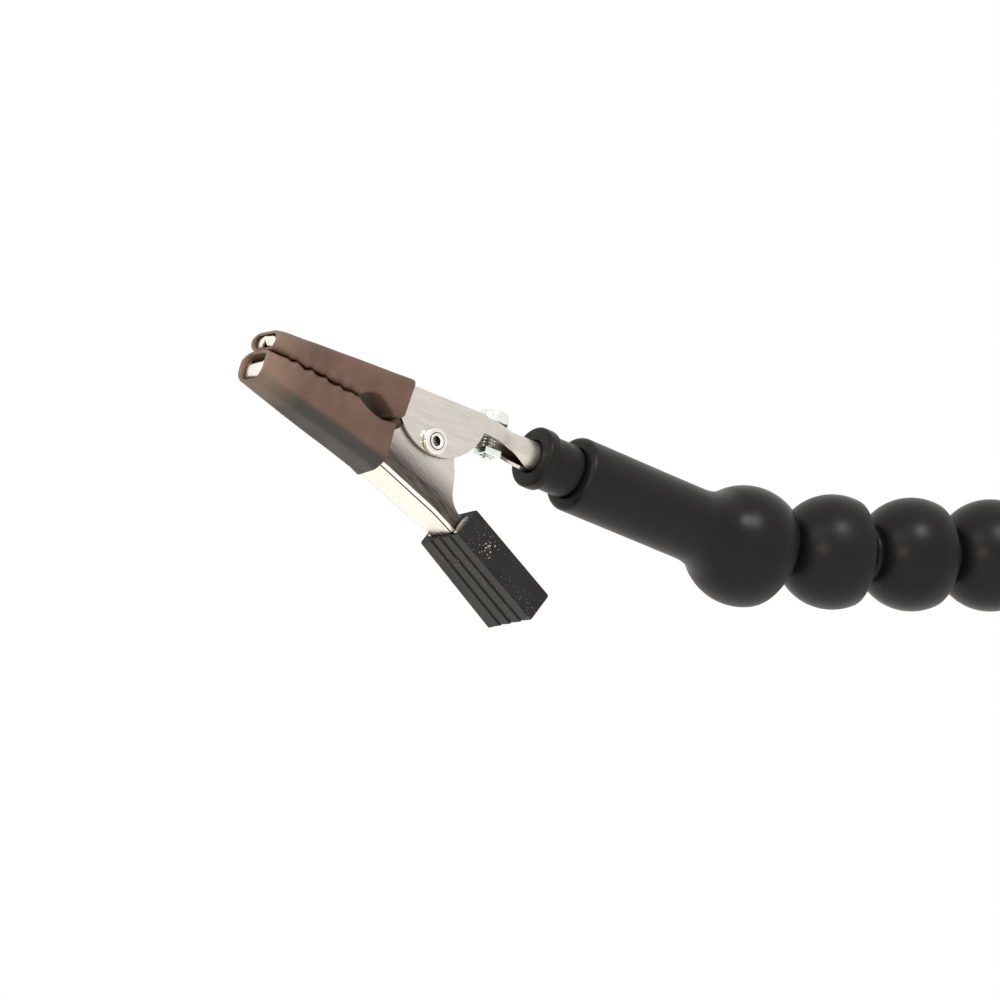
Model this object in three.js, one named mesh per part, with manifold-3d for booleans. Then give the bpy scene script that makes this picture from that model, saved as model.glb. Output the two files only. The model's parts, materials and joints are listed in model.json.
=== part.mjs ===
// Clip end of a soldering helping-hand arm: a sprung crocodile clip with sleeved jaws, plugged
// into a nozzle that snaps onto a chain of ball-and-socket hose segments.
// Millimetres. The origin is on the shoulder face of the base connector and +X is that face's
// outward normal; the arm runs towards -X, and +Z is up.
import * as THREE from "three";
import { mergeVertices } from "three/addons/utils/BufferGeometryUtils.js";
import Module from "manifold-3d";

const wasm = await Module();
wasm.setup();

// ---- Driving dimensions ----
// Sheet-metal clip, in its own frame: the pivot is the origin, +x runs to the tail, +z to the back.
const SHEET = 0.5;                 // thickness of the pressed steel
const BACK_Z = 6.85;               // outer face of the fixed jaw's back, above the pivot
const FIXED_HALF = 4.0;            // half width of the fixed jaw at the pivot
const MOVING_HALF = 3.35;          // half width of the moving jaw at the pivot
const NOSE_HALF = 2.3;             // half width of both jaws just behind the nose
const FIXED_NOSE_X = -27.0;
const MOVING_NOSE_X = -28.0;
const LOBE = { x: 0.5, z: 6.2, r: 8.05 };   // rounded pivot ear of the fixed jaw
const TAIL_LOW_Z = 4.0;            // lower edge of the tail channel
const TAIL_Z = 4.65;               // height of the barrel's axis
const BARREL_R = 2.2;
const BARREL_END_X = 25.3;
const BITE_FRONT = { x: -27, z: 4.1 };      // line where the two sleeves meet
const BITE_REAR = { x: -14, z: 2.5 };
const SLEEVE_WALL = 0.5;
const SLEEVE_FIT = 0.17;           // clearance between a sleeve and its jaw
const SLEEVE_MEET = 0.1;           // half of the gap between the closed sleeves
const TEETH = 6;
const TOOTH_DEPTH = 0.6;
const WEB_SLOPE = -0.2555;         // fall of the moving jaw's web ahead of the lever bend
const LEVER_DIP = THREE.MathUtils.degToRad(20.4);
const LEVER_DISTANCE = 7.8;        // outer face of the lever's web, from the pivot
const LEVER_KNEE_X = 7.5;          // where the lever bends down into the grip
const LEVER_TAIL_DIP = THREE.MathUtils.degToRad(28.9);
const LEVER_END_X = 20.2;
const RIVET_HOLE_R = 1.65;
const RIVET_R = 1.4;
const RIVET_HEAD_R = 1.95;
const RIVET_BORE_R = 0.6;
const RIVET_HEAD = 0.85;
const SPRING_R = 2.4;              // mean radius of the coil
const SPRING_WIRE_R = 0.4;
const SPRING_PITCH = 1.15;
const SCREW_X = 12.2;
const SCREW_R = 0.9;
const SCREW_HEAD = { r: 2.2, low: 7.0, high: 8.7, slotWidth: 0.6, slotDepth: 0.8 };
const SLOT_TURN = -36;             // degrees from across the tail
const SCREW_TIP_Z = 1.7;
const NUT = { side: 2.8, low: 2.2, high: 3.3 };
const GRIP_DIP = THREE.MathUtils.degToRad(28.9);
const GRIP = { x: 6.86, z: -11.67, length: 17.15, height: 4.9 };   // middle of the mouth's lower edge
const GRIP_SLOPE = 0.114;          // fall of the thumb face across its width
const GRIP_HALF_MOUTH = 4.05;
const GRIP_HALF_END = 4.5;
const GRIP_RIBS = 4;
const RIB_STEP = 0.2;

// Plug and nozzle, in the nozzle's frame: x = 0 is the front of the collar, +x runs to the arm.
const COLLAR_X = 19.9;             // front of the collar, from the clip's pivot
const CLIP_TILT = THREE.MathUtils.degToRad(0.9);   // how far the clip leans in its collar
const FLANGE = { r: 4.55, length: 2.3 };
const NECK_R = 4.0;
const NOZZLE_FRONT_X = 7.3;
const NOZZLE_R = 5.6;
const NOZZLE_FLARE_X = 32.6;
const BELL_X = 43.2;               // centre of the nozzle's ball socket
const BELL_OUT = { x: 42.7, r: 9.3, from: 128, lipX: 46.9, lipR: 6.9 };   // rounded outside of the bell
const PLUG_END_X = 12.2;
const SOCKET_R = 2.55;             // bore of the collar that takes the clip's barrel
const SOCKET_DEPTH = 8.2;

// Ball-and-socket hose.
const PITCH = 14.7;                // ball centre to socket centre of one segment
const BALL_R = 6.8;
const CUP_IN_R = 7.3;              // inside of a socket
const CUP_OUT_R = 8.9;
const CUP_LIP_X = 3.6;             // how far a socket's lip reaches past its centre
const WAIST_R = 3.8;               // outside of the waist between ball and socket
const HOSE_BORE_R = 2.7;
const SEGMENTS = 5;
// Direction of each link, in degrees from the base: turn to the side, then dip of the base end.
const LINK_YAW = [9, 18, 25, 27, 21];
const LINK_DIP = [0, 0.5, 1, 2, 3.2];
const HEAD_YAW = 36.6;
const HEAD_DIP = 18.2;
const HEAD_ROLL = -5.2;

// Base connector, in the row's frame.
const SHOULDER = { r: 11, thickness: 3.2 };
const BASE_BALL_X = -13.5;         // centre of the base ball
const STUB = { r: 6.6, length: 10 };

const ROUND = 24;                  // sides of a large round
const SMALL_ROUND = 20;

// ---- Finishes ----
const finish = (color, roughness, metalness) =>
  new THREE.MeshStandardMaterial({ color, roughness, metalness });
const nickel = () => finish(0xc4bfb4, 0.32, 1);
const zinc = () => finish(0xd5d8d2, 0.3, 1);
const springSteel = () => finish(0x9a9a96, 0.35, 1);
const brass = () => finish(0xb99a5a, 0.35, 1);
const sleeveBrown = () => finish(0x6a5248, 0.6, 0);
const gripBlack = () => finish(0x2b2b29, 0.6, 0);
const hoseBlack = () => finish(0x242220, 0.5, 0);

// ---- Solids ----
// A closed geometry as a manifold-3d solid.
function solid(geometry) {
  const bare = geometry.clone();
  bare.deleteAttribute("normal");
  bare.deleteAttribute("uv");
  const merged = mergeVertices(bare, 1e-4);
  return new wasm.Manifold(new wasm.Mesh({
    numProp: 3,
    vertProperties: merged.attributes.position.array,
    triVerts: new Uint32Array(merged.index.array),
  }));
}

// A named mesh of a manifold-3d solid.
function piece(name, body, material) {
  const { vertProperties, triVerts } = body.getMesh();
  const geometry = new THREE.BufferGeometry();
  geometry.setAttribute("position", new THREE.BufferAttribute(vertProperties, 3));
  geometry.setIndex(new THREE.BufferAttribute(triVerts, 1));
  geometry.computeVertexNormals();
  const mesh = new THREE.Mesh(geometry, material);
  mesh.name = name;
  return mesh;
}

const shapeOf = (points) => new THREE.Shape(points.map(([a, b]) => new THREE.Vector2(a, b)));

// A side outline in x and z, drawn out from -half to +half in y.
function sideSolid(shape, half) {
  const geometry = new THREE.ExtrudeGeometry(shape,
    { depth: 2 * half, bevelEnabled: false, curveSegments: 14 });
  return solid(geometry.rotateX(Math.PI / 2).translate(0, half, 0));
}

// A half plan given as x and half-width points, mirrored and drawn up from low to high in z.
function planSolid(halves, low, high) {
  const near = halves.map(([x, y]) => [x, -y]);
  const far = halves.map(([x, y]) => [x, y]).reverse();
  const geometry = new THREE.ExtrudeGeometry(shapeOf([...near, ...far]),
    { depth: high - low, bevelEnabled: false });
  return solid(geometry.translate(0, 0, low));
}

// A profile of x and radius points turned round the x axis; it starts and ends on the axis or closes.
function turned(points, sides = ROUND) {
  const profile = points.map(([x, r]) => new THREE.Vector2(r, x));
  return solid(new THREE.LatheGeometry(profile, sides).rotateZ(-Math.PI / 2));
}

// A rod along x, from start to end.
const rod = (start, end, r, sides = SMALL_ROUND) =>
  turned([[start, 0], [start, r], [end, r], [end, 0]], sides);

// The same rod turned to stand along y or z.
function rodAlong(axis, start, end, r, sides = SMALL_ROUND) {
  const geometry = new THREE.CylinderGeometry(r, r, end - start, sides)
    .translate(0, (start + end) / 2, 0);
  return solid(axis === "z" ? geometry.rotateX(Math.PI / 2) : geometry);
}

const box = (x0, x1, y0, y1, z0, z1) => solid(new THREE.BoxGeometry(x1 - x0, y1 - y0, z1 - z0)
  .translate((x0 + x1) / 2, (y0 + y1) / 2, (z0 + z1) / 2));

// Points on a circular arc in x and radius, angles in degrees from +x.
function arc(centreX, centreR, radius, from, to, steps) {
  return Array.from({ length: steps + 1 }, (_, i) => {
    const angle = THREE.MathUtils.degToRad(from + (to - from) * i / steps);
    return [centreX + radius * Math.cos(angle), centreR + radius * Math.sin(angle)];
  });
}

// ---- Lines that the two jaws and their sleeves share ----
const biteZ = (x) => BITE_FRONT.z + (x - BITE_FRONT.x)
  * (BITE_REAR.z - BITE_FRONT.z) / (BITE_REAR.x - BITE_FRONT.x);
const SLEEVE_SKIN = SLEEVE_WALL + SLEEVE_FIT;
const TOOTH_OFFSET = SLEEVE_SKIN + SLEEVE_MEET;
const LEVER_BEND_X = -8.5;
const leverZ = (x) => -(LEVER_DISTANCE + Math.sin(LEVER_DIP) * x) / Math.cos(LEVER_DIP);
const webZ = (x) => leverZ(LEVER_BEND_X) + WEB_SLOPE * (x - LEVER_BEND_X);
const leverTailZ = (x) => leverZ(LEVER_KNEE_X) - Math.tan(LEVER_TAIL_DIP) * (x - LEVER_KNEE_X);

// A row of pointed teeth from x0 to x1 beside the bite line; side is +1 above it and -1 below it.
function teeth(x0, x1, side) {
  const step = (x1 - x0) / TEETH;
  return Array.from({ length: TEETH }, (_, i) => {
    const tip = x0 + step * i;
    const root = tip + step / 2;
    return [[tip, biteZ(tip) + side * TOOTH_OFFSET],
      [root, biteZ(root) + side * (TOOTH_OFFSET + TOOTH_DEPTH)]];
  }).flat();
}

// Half widths of a jaw from its nose to the pivot, each moved out by grow.
const jawPlan = (noseX, half, grow = 0) => [
  [noseX - grow, 1.3 + grow], [noseX + 1 - grow, NOSE_HALF + grow], [-6, half + grow],
];

// ---- Clip ----
// The fixed jaw: a U channel whose back runs straight from the nose to the rolled tail barrel.
function fixedJaw() {
  const outline = new THREE.Shape();
  outline.moveTo(FIXED_NOSE_X + 1.4, BACK_Z);
  outline.quadraticCurveTo(FIXED_NOSE_X, BACK_Z, FIXED_NOSE_X, BACK_Z - 1.2);
  teeth(FIXED_NOSE_X, BITE_REAR.x, 1).forEach(([x, z]) => outline.lineTo(x, z));
  outline.lineTo(BITE_REAR.x, biteZ(BITE_REAR.x) + TOOTH_OFFSET);
  outline.quadraticCurveTo(-11.3, 5.9, -6.5, 2.2);
  outline.absarc(LOBE.x, LOBE.z, LOBE.r, THREE.MathUtils.degToRad(209.7),
    THREE.MathUtils.degToRad(344.1), false);
  outline.lineTo(17.5, TAIL_LOW_Z);
  outline.lineTo(17.5, BACK_Z);
  const tail = [[8.2, FIXED_HALF], [16, BARREL_R], [17.5, BARREL_R]];
  const tailHollow = [[8.2, FIXED_HALF - SHEET], [15.6, BARREL_R - SHEET]];
  const skin = sideSolid(outline, 6)
    .intersect(planSolid([...jawPlan(FIXED_NOSE_X, FIXED_HALF), ...tail], -3, 9));
  const hollow = planSolid([...jawPlan(FIXED_NOSE_X + SHEET, FIXED_HALF - SHEET), ...tailHollow],
    -3, BACK_Z - SHEET);
  const barrel = rod(14.4, BARREL_END_X, BARREL_R).translate(0, 0, TAIL_Z);
  const bore = rod(14, BARREL_END_X + 1, BARREL_R - SHEET).translate(0, 0, TAIL_Z);
  const flare = sideSolid(shapeOf([[10, 5.5], [13.8, 3.9], [18.8, 1.9], [18.8, 0], [10, 0]]), 4);
  return skin.subtract(hollow).add(barrel.subtract(flare)).subtract(bore)
    .subtract(rodAlong("y", -6, 6, RIVET_HOLE_R))
    .subtract(rodAlong("z", 5, 8, SCREW_R + 0.3).translate(SCREW_X, 0, 0));
}

// The moving jaw: a U channel nested in the fixed jaw's ears, running back into the lever.
function movingJaw() {
  const outline = new THREE.Shape();
  outline.moveTo(MOVING_NOSE_X, webZ(MOVING_NOSE_X) + 1.6);
  outline.quadraticCurveTo(MOVING_NOSE_X, webZ(MOVING_NOSE_X) + 0.2, MOVING_NOSE_X + 1.4,
    webZ(MOVING_NOSE_X + 1.4));
  outline.lineTo(LEVER_BEND_X, leverZ(LEVER_BEND_X));
  outline.lineTo(LEVER_KNEE_X, leverZ(LEVER_KNEE_X));
  outline.lineTo(LEVER_END_X, leverTailZ(LEVER_END_X));
  outline.lineTo(LEVER_END_X + 1.2, leverTailZ(LEVER_END_X) + 2.7);
  outline.lineTo(8.8, leverTailZ(8.8) + 3.1);
  outline.lineTo(7.2, -8.0);
  outline.quadraticCurveTo(5.5, -6.9, 5.5, -4.9);
  outline.quadraticCurveTo(5.4, -2.9, 4.45, -1.17);
  outline.absarc(0, 0, 4.6, THREE.MathUtils.degToRad(-14.7), THREE.MathUtils.degToRad(160), false);
  outline.lineTo(-6.1, -0.1);
  outline.quadraticCurveTo(-9.3, -1.6, -12, 0.6);
  outline.lineTo(BITE_REAR.x, biteZ(BITE_REAR.x) - TOOTH_OFFSET);
  teeth(BITE_REAR.x, MOVING_NOSE_X + 0.9, -1).slice(1).forEach(([x, z]) => outline.lineTo(x, z));
  outline.lineTo(MOVING_NOSE_X + 0.4, biteZ(MOVING_NOSE_X) - TOOTH_OFFSET - 0.3);
  outline.lineTo(MOVING_NOSE_X, biteZ(MOVING_NOSE_X) - TOOTH_OFFSET - 1);
  const lever = [[3, MOVING_HALF], [7, 2.75], [LEVER_END_X + 2, 2.6]];
  const leverHollow = [[3, MOVING_HALF - SHEET], [7, 2.75 - SHEET], [LEVER_END_X + 4, 2.6 - SHEET]];
  const skin = sideSolid(outline, 6)
    .intersect(planSolid([...jawPlan(MOVING_NOSE_X, MOVING_HALF), ...lever], -22, 7));
  const above = shapeOf([
    [MOVING_NOSE_X - 2, webZ(MOVING_NOSE_X - 2) + SHEET],
    [LEVER_BEND_X, leverZ(LEVER_BEND_X) + SHEET], [LEVER_KNEE_X, leverZ(LEVER_KNEE_X) + SHEET],
    [LEVER_END_X + 4, leverTailZ(LEVER_END_X + 4) + SHEET * 1.1],
    [LEVER_END_X + 4, 8], [MOVING_NOSE_X - 2, 8],
  ]);
  const hollow = planSolid([...jawPlan(MOVING_NOSE_X + SHEET, MOVING_HALF - SHEET), ...leverHollow],
    -24, 8);
  return skin.subtract(hollow.intersect(sideSolid(above, 6)))
    .subtract(rodAlong("y", -6, 6, RIVET_HOLE_R));
}

// The pivot: a hollow rivet with a rolled-over head on each ear.
function pivotRivet() {
  const seat = FIXED_HALF + 0.15;
  const end = seat + RIVET_HEAD;
  const half = [
    [seat, RIVET_R], [seat, RIVET_HEAD_R - 0.3], [seat + 0.3, RIVET_HEAD_R],
    [end - 0.25, RIVET_HEAD_R - 0.35], [end, RIVET_HEAD_R - 0.85],
    [end - 0.2, RIVET_BORE_R + 0.2], [end - 0.7, RIVET_BORE_R],
  ];
  const profile = [...half.map(([x, r]) => [-x, r]).reverse(), ...half];
  return turned([...profile, profile[0]], SMALL_ROUND).rotate([0, 0, 90]);
}

// The torsion spring: a coil round the rivet with one leg under the back and one on the lever.
function torsionSpring() {
  const start = 110;
  const sweep = 1185;
  const coilSteps = 60;
  const width = SPRING_PITCH * sweep / 360;
  const point = (degrees, along) => {
    const angle = THREE.MathUtils.degToRad(degrees);
    return new THREE.Vector3(SPRING_R * Math.cos(angle), along, SPRING_R * Math.sin(angle));
  };
  const leg = (from, degrees, length) => {
    const angle = THREE.MathUtils.degToRad(degrees);
    return from.clone().add(new THREE.Vector3(length * Math.cos(angle), 0, length * Math.sin(angle)));
  };
  const coil = Array.from({ length: coilSteps + 1 }, (_, i) =>
    point(start + sweep * i / coilSteps, -width / 2 + width * i / coilSteps));
  const path = new THREE.CatmullRomCurve3([
    leg(coil[0], start - 90, 10), leg(coil[0], start - 90, 5), leg(coil[0], start - 90, 1), ...coil,
    leg(coil[coilSteps], start + sweep + 90, 1), leg(coil[coilSteps], start + sweep + 90, 4.5),
    leg(coil[coilSteps], start + sweep + 90, 8.1)]);
  const section = new THREE.Shape().absarc(0, 0, SPRING_WIRE_R, 0, 2 * Math.PI, false);
  return solid(new THREE.ExtrudeGeometry(section, { steps: 84, curveSegments: 3, extrudePath: path }));
}

// A sleeve is a tube over one jaw: its outer and inner outlines, and the half plan of each.
function sleeve(outer, inner, outerPlan, innerPlan) {
  return sideSolid(outer, 7).intersect(planSolid(outerPlan, -9, 9))
    .subtract(sideSolid(inner, 7).intersect(planSolid(innerPlan, -9, 9)));
}

function upperSleeve() {
  const front = -28.1;
  const top = BACK_Z + SLEEVE_SKIN;
  const outer = shapeOf([
    [front + 0.4, top], [front, biteZ(front) + 1.2],
    [front + 0.6, biteZ(front + 0.6) + SLEEVE_MEET], [BITE_REAR.x, BITE_REAR.z + SLEEVE_MEET],
    [-11.3, 3.55], [-8.8, 2.9], [-6.55, 1.3], [-5.3, top],
  ]);
  const innerTop = BACK_Z + SLEEVE_FIT;
  const lift = SLEEVE_MEET + SLEEVE_WALL;
  const inner = shapeOf([
    [front - 2, innerTop], [front - 2, biteZ(front - 2) + lift], [BITE_REAR.x, BITE_REAR.z + lift],
    [-11.3, 3.55 + SLEEVE_WALL], [-8.8, 2.9 + SLEEVE_WALL], [-6.9, 1.5 + SLEEVE_WALL],
    [-5, 0.6], [-4, 0.6], [-4, innerTop],
  ]);
  const outerPlan = [[front - 3, NOSE_HALF + SLEEVE_SKIN - 0.25], [-6, FIXED_HALF + SLEEVE_SKIN],
    [-3, FIXED_HALF + SLEEVE_SKIN]];
  const innerPlan = [[front - 3, NOSE_HALF + SLEEVE_FIT - 0.25], [-6, FIXED_HALF + SLEEVE_FIT],
    [-3, FIXED_HALF + SLEEVE_FIT]];
  return sleeve(outer, inner, outerPlan, innerPlan);
}

function lowerSleeve() {
  const front = -29.4;
  const drop = SLEEVE_SKIN / Math.cos(Math.atan(WEB_SLOPE));
  const fit = SLEEVE_FIT / Math.cos(Math.atan(WEB_SLOPE));
  const meet = -SLEEVE_MEET;
  const outer = shapeOf([
    [front, webZ(front) - drop], [-7.8, webZ(-7.8) - drop], [-6.95, -3.6], [-6.75, 0.85],
    [-8.9, 0.45], [-12, 1.35], [BITE_REAR.x, BITE_REAR.z + meet],
    [front + 0.9, biteZ(front + 0.9) + meet],
  ]);
  const inner = shapeOf([
    [front - 2, webZ(front - 2) - fit], [-8.0, webZ(-8.0) - fit], [-5, leverZ(-5) - 0.2],
    [-5, 0.4 - SLEEVE_WALL], [-8.9, 0.45 - SLEEVE_WALL], [-12, 1.35 - SLEEVE_WALL],
    [BITE_REAR.x, BITE_REAR.z + meet - SLEEVE_WALL],
    [front - 2, biteZ(front - 2) + meet - SLEEVE_WALL],
  ]);
  const outerPlan = [[front - 3, NOSE_HALF + SLEEVE_SKIN - 0.15], [-6, MOVING_HALF + SLEEVE_SKIN],
    [-3, MOVING_HALF + SLEEVE_SKIN]];
  const innerPlan = [[front - 3, NOSE_HALF + SLEEVE_FIT - 0.15], [-6, MOVING_HALF + SLEEVE_FIT],
    [-3, MOVING_HALF + SLEEVE_FIT]];
  return sleeve(outer, inner, outerPlan, innerPlan);
}

// The thumb grip: a moulded boot pushed over the end of the lever, ribbed on its pressed face.
function thumbGrip() {
  const face = (y) => -GRIP_SLOPE * y;
  const half = GRIP_HALF_END;
  const rib = 2 * half / GRIP_RIBS;
  const section = [];
  for (let i = 0; i < GRIP_RIBS; i += 1) {
    const near = -half + rib * i;
    const far = near + rib;
    section.push([near, face(near)]);
    section.push([far - 0.1, face(far) + (i < GRIP_RIBS - 1 ? RIB_STEP : 0)]);
  }
  section.push([half, face(half)], [half, face(half) + GRIP.height], [-half, face(-half) + GRIP.height]);
  const bar = new THREE.ExtrudeGeometry(shapeOf(section), { depth: GRIP.length, bevelEnabled: false });
  const towards = new THREE.Matrix4().makeBasis(
    new THREE.Vector3(0, 1, 0), new THREE.Vector3(0, 0, 1), new THREE.Vector3(1, 0, 0));
  const taper = planSolid([[0, GRIP_HALF_MOUTH], [GRIP.length, half]], -3, 9);
  const body = solid(bar.applyMatrix4(towards)).intersect(taper)
    .rotate([0, THREE.MathUtils.radToDeg(GRIP_DIP), 0]).translate(GRIP.x, 0, GRIP.z);
  const fit = 0.2;
  const pocketEnd = LEVER_END_X + 0.6;
  const pocket = sideSolid(shapeOf([
    [3, leverTailZ(3) - fit], [pocketEnd, leverTailZ(pocketEnd) - fit],
    [LEVER_END_X + 1.5, leverTailZ(LEVER_END_X) + 3.0], [8.5, leverTailZ(8.5) + 3.5],
    [3, leverTailZ(3) + 3.5],
  ]), 6)
    .intersect(planSolid([[3, 3.75], [7, 2.75 + fit], [LEVER_END_X + 2, 2.6 + fit]], -24, 0));
  return body.subtract(pocket);
}

// The terminal screw: a slotted cheese head on the tail, its shank hanging into the channel.
function terminalScrew() {
  const head = rodAlong("z", SCREW_HEAD.low, SCREW_HEAD.high, SCREW_HEAD.r);
  const shank = rodAlong("z", SCREW_TIP_Z, SCREW_HEAD.low + 0.2, SCREW_R);
  const slot = box(-SCREW_HEAD.slotWidth / 2, SCREW_HEAD.slotWidth / 2, -4, 4,
    SCREW_HEAD.high - SCREW_HEAD.slotDepth, 12);
  return head.add(shank).subtract(slot).rotate([0, 0, SLOT_TURN]).translate(SCREW_X, 0, 0);
}

function terminalNut() {
  const half = NUT.side / 2;
  return box(-half, half, -half, half, NUT.low, NUT.high)
    .subtract(rodAlong("z", 0, 6, SCREW_R + 0.15)).translate(SCREW_X, 0, 0);
}

// ---- Plug and nozzle ----
// The plug body: a flanged collar, the neck behind it and the spigot hidden in the nozzle.
function plugBody() {
  return turned([
    [0, SOCKET_R], [0, FLANGE.r - 0.5], [0.5, FLANGE.r], [FLANGE.length - 0.4, FLANGE.r],
    [FLANGE.length, FLANGE.r - 0.4], [FLANGE.length, NECK_R],
    [NOZZLE_FRONT_X - 0.4, NECK_R], [NOZZLE_FRONT_X - 0.4, NECK_R - 0.35],
    [PLUG_END_X, NECK_R - 0.35], [PLUG_END_X, 1.85],
    [SOCKET_DEPTH, 1.85], [SOCKET_DEPTH, SOCKET_R], [0, SOCKET_R],
  ]);
}

// The pin that the clip's barrel slides onto: a grooved tip, a seat and a threaded stem.
function plugPin() {
  return turned([
    [0.7, 0], [0.7, 0.9], [1.3, 1.45], [1.9, 1.45], [1.9, 0.95], [6.4, 0.95], [6.4, 1.45],
    [7.1, 1.45], [7.1, 2.4], [SOCKET_DEPTH - 0.2, 2.4], [SOCKET_DEPTH - 0.2, 1.5],
    [16.2, 1.5], [16.6, 1.1], [16.6, 0],
  ], 24);
}

// The spring leaves round the pin's neck: a slit cage, bowed out in the middle.
function plugLeaves() {
  const outside = [[2.15, 1.28], [3.1, 1.35], [4.2, 1.48], [5.2, 1.35], [6.15, 1.28]];
  const inside = outside.map(([x, r]) => [x, r - 0.18]).reverse();
  let cage = turned([...outside, ...inside, outside[0]], 24);
  for (let i = 0; i < 4; i += 1) {
    cage = cage.subtract(box(2.7, 5.6, -0.2, 0.2, 0.5, 3).rotate([90 * i, 0, 0]));
  }
  return cage;
}

const plugWasher = () => rod(PLUG_END_X + 0.15, PLUG_END_X + 0.65, 3.2, 24)
  .subtract(rod(PLUG_END_X, PLUG_END_X + 1, 1.7, 24));

const plugNut = () => rod(PLUG_END_X + 0.8, PLUG_END_X + 2.8, 3.1, 6)
  .subtract(rod(PLUG_END_X, PLUG_END_X + 4, 1.65));

// The nozzle: a long tube that takes the plug and flares into the first ball socket.
function nozzle() {
  const lipX = BELL_OUT.lipX - BELL_OUT.x;
  const outLip = THREE.MathUtils.radToDeg(Math.acos((lipX - 0.7) / BELL_OUT.r));
  const inLip = THREE.MathUtils.radToDeg(Math.acos((BELL_OUT.lipX - BELL_X) / CUP_IN_R));
  const inEnd = 180 - THREE.MathUtils.radToDeg(Math.asin(HOSE_BORE_R / CUP_IN_R));
  return turned([
    [NOZZLE_FRONT_X, NECK_R], [NOZZLE_FRONT_X, NOZZLE_R - 1.1],
    [NOZZLE_FRONT_X + 0.35, NOZZLE_R - 0.35], [NOZZLE_FRONT_X + 1.1, NOZZLE_R],
    [NOZZLE_FLARE_X, NOZZLE_R + 0.05], [NOZZLE_FLARE_X + 2.5, NOZZLE_R + 0.5],
    ...arc(BELL_OUT.x, 0, BELL_OUT.r, BELL_OUT.from, outLip, 5), [BELL_OUT.lipX, BELL_OUT.lipR],
    ...arc(BELL_X, 0, CUP_IN_R, inLip, inEnd, 6),
    [NOZZLE_FLARE_X - 4, HOSE_BORE_R], [NOZZLE_FLARE_X - 8, NECK_R], [NOZZLE_FRONT_X, NECK_R],
  ]);
}

// ---- Hose arm ----
// Outside of a ball from its open end to the waist, with the centre at x.
const ballOutside = (x) => {
  const open = 180 - THREE.MathUtils.radToDeg(Math.asin(4.3 / BALL_R));
  const waist = THREE.MathUtils.radToDeg(Math.asin(WAIST_R / BALL_R));
  return arc(x, 0, BALL_R, open, waist, 6);
};

// One segment, in its own frame: the socket's centre is the origin and the ball is at x = -PITCH.
function armSegment() {
  const lip = THREE.MathUtils.radToDeg(Math.acos(CUP_LIP_X / CUP_OUT_R));
  const inLip = THREE.MathUtils.radToDeg(Math.acos(CUP_LIP_X / CUP_IN_R));
  const inEnd = 180 - THREE.MathUtils.radToDeg(Math.asin(HOSE_BORE_R / CUP_IN_R));
  const mouthX = -PITCH - Math.sqrt(BALL_R ** 2 - 4.3 ** 2);
  return turned([
    [mouthX, 3.7], ...ballOutside(-PITCH), [-PITCH + 6.35, WAIST_R],
    ...arc(0, 0, CUP_OUT_R, 148, lip, 6), ...arc(0, 0, CUP_IN_R, inLip, inEnd, 6),
    [-PITCH + 3.4, HOSE_BORE_R], [mouthX, 3.7],
  ]);
}

// The base connector: a ball, a waist, a round shoulder and the threaded stub beyond it.
function baseConnector() {
  const mouthX = BASE_BALL_X - Math.sqrt(BALL_R ** 2 - 4.3 ** 2);
  return turned([
    [mouthX, 3.7], ...ballOutside(BASE_BALL_X), [BASE_BALL_X + 6.6, WAIST_R],
    [-SHOULDER.thickness - 1.4, 5.2], [-SHOULDER.thickness, 8.2],
    [-SHOULDER.thickness, SHOULDER.r - 0.5], [-SHOULDER.thickness + 0.5, SHOULDER.r],
    [-0.4, SHOULDER.r], [0, SHOULDER.r - 0.4], [0, STUB.r],
    [STUB.length - 0.8, STUB.r - 0.3], [STUB.length, STUB.r - 0.9],
    [STUB.length, HOSE_BORE_R], [BASE_BALL_X + 3.4, HOSE_BORE_R], [mouthX, 3.7],
  ]);
}

// ---- Assembly ----
// A frame at a joint, turned to its link's direction.
function frameAt(joint, yaw, dip, roll = 0) {
  const frame = new THREE.Group();
  frame.position.copy(joint);
  frame.rotation.order = "ZYX";
  frame.rotation.set(THREE.MathUtils.degToRad(roll), THREE.MathUtils.degToRad(dip),
    THREE.MathUtils.degToRad(yaw));
  return frame;
}

// The point (x, 0, 0) of a frame, in the row's frame.
const pointOn = (frame, x) => new THREE.Vector3(x, 0, 0).applyEuler(frame.rotation).add(frame.position);

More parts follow.
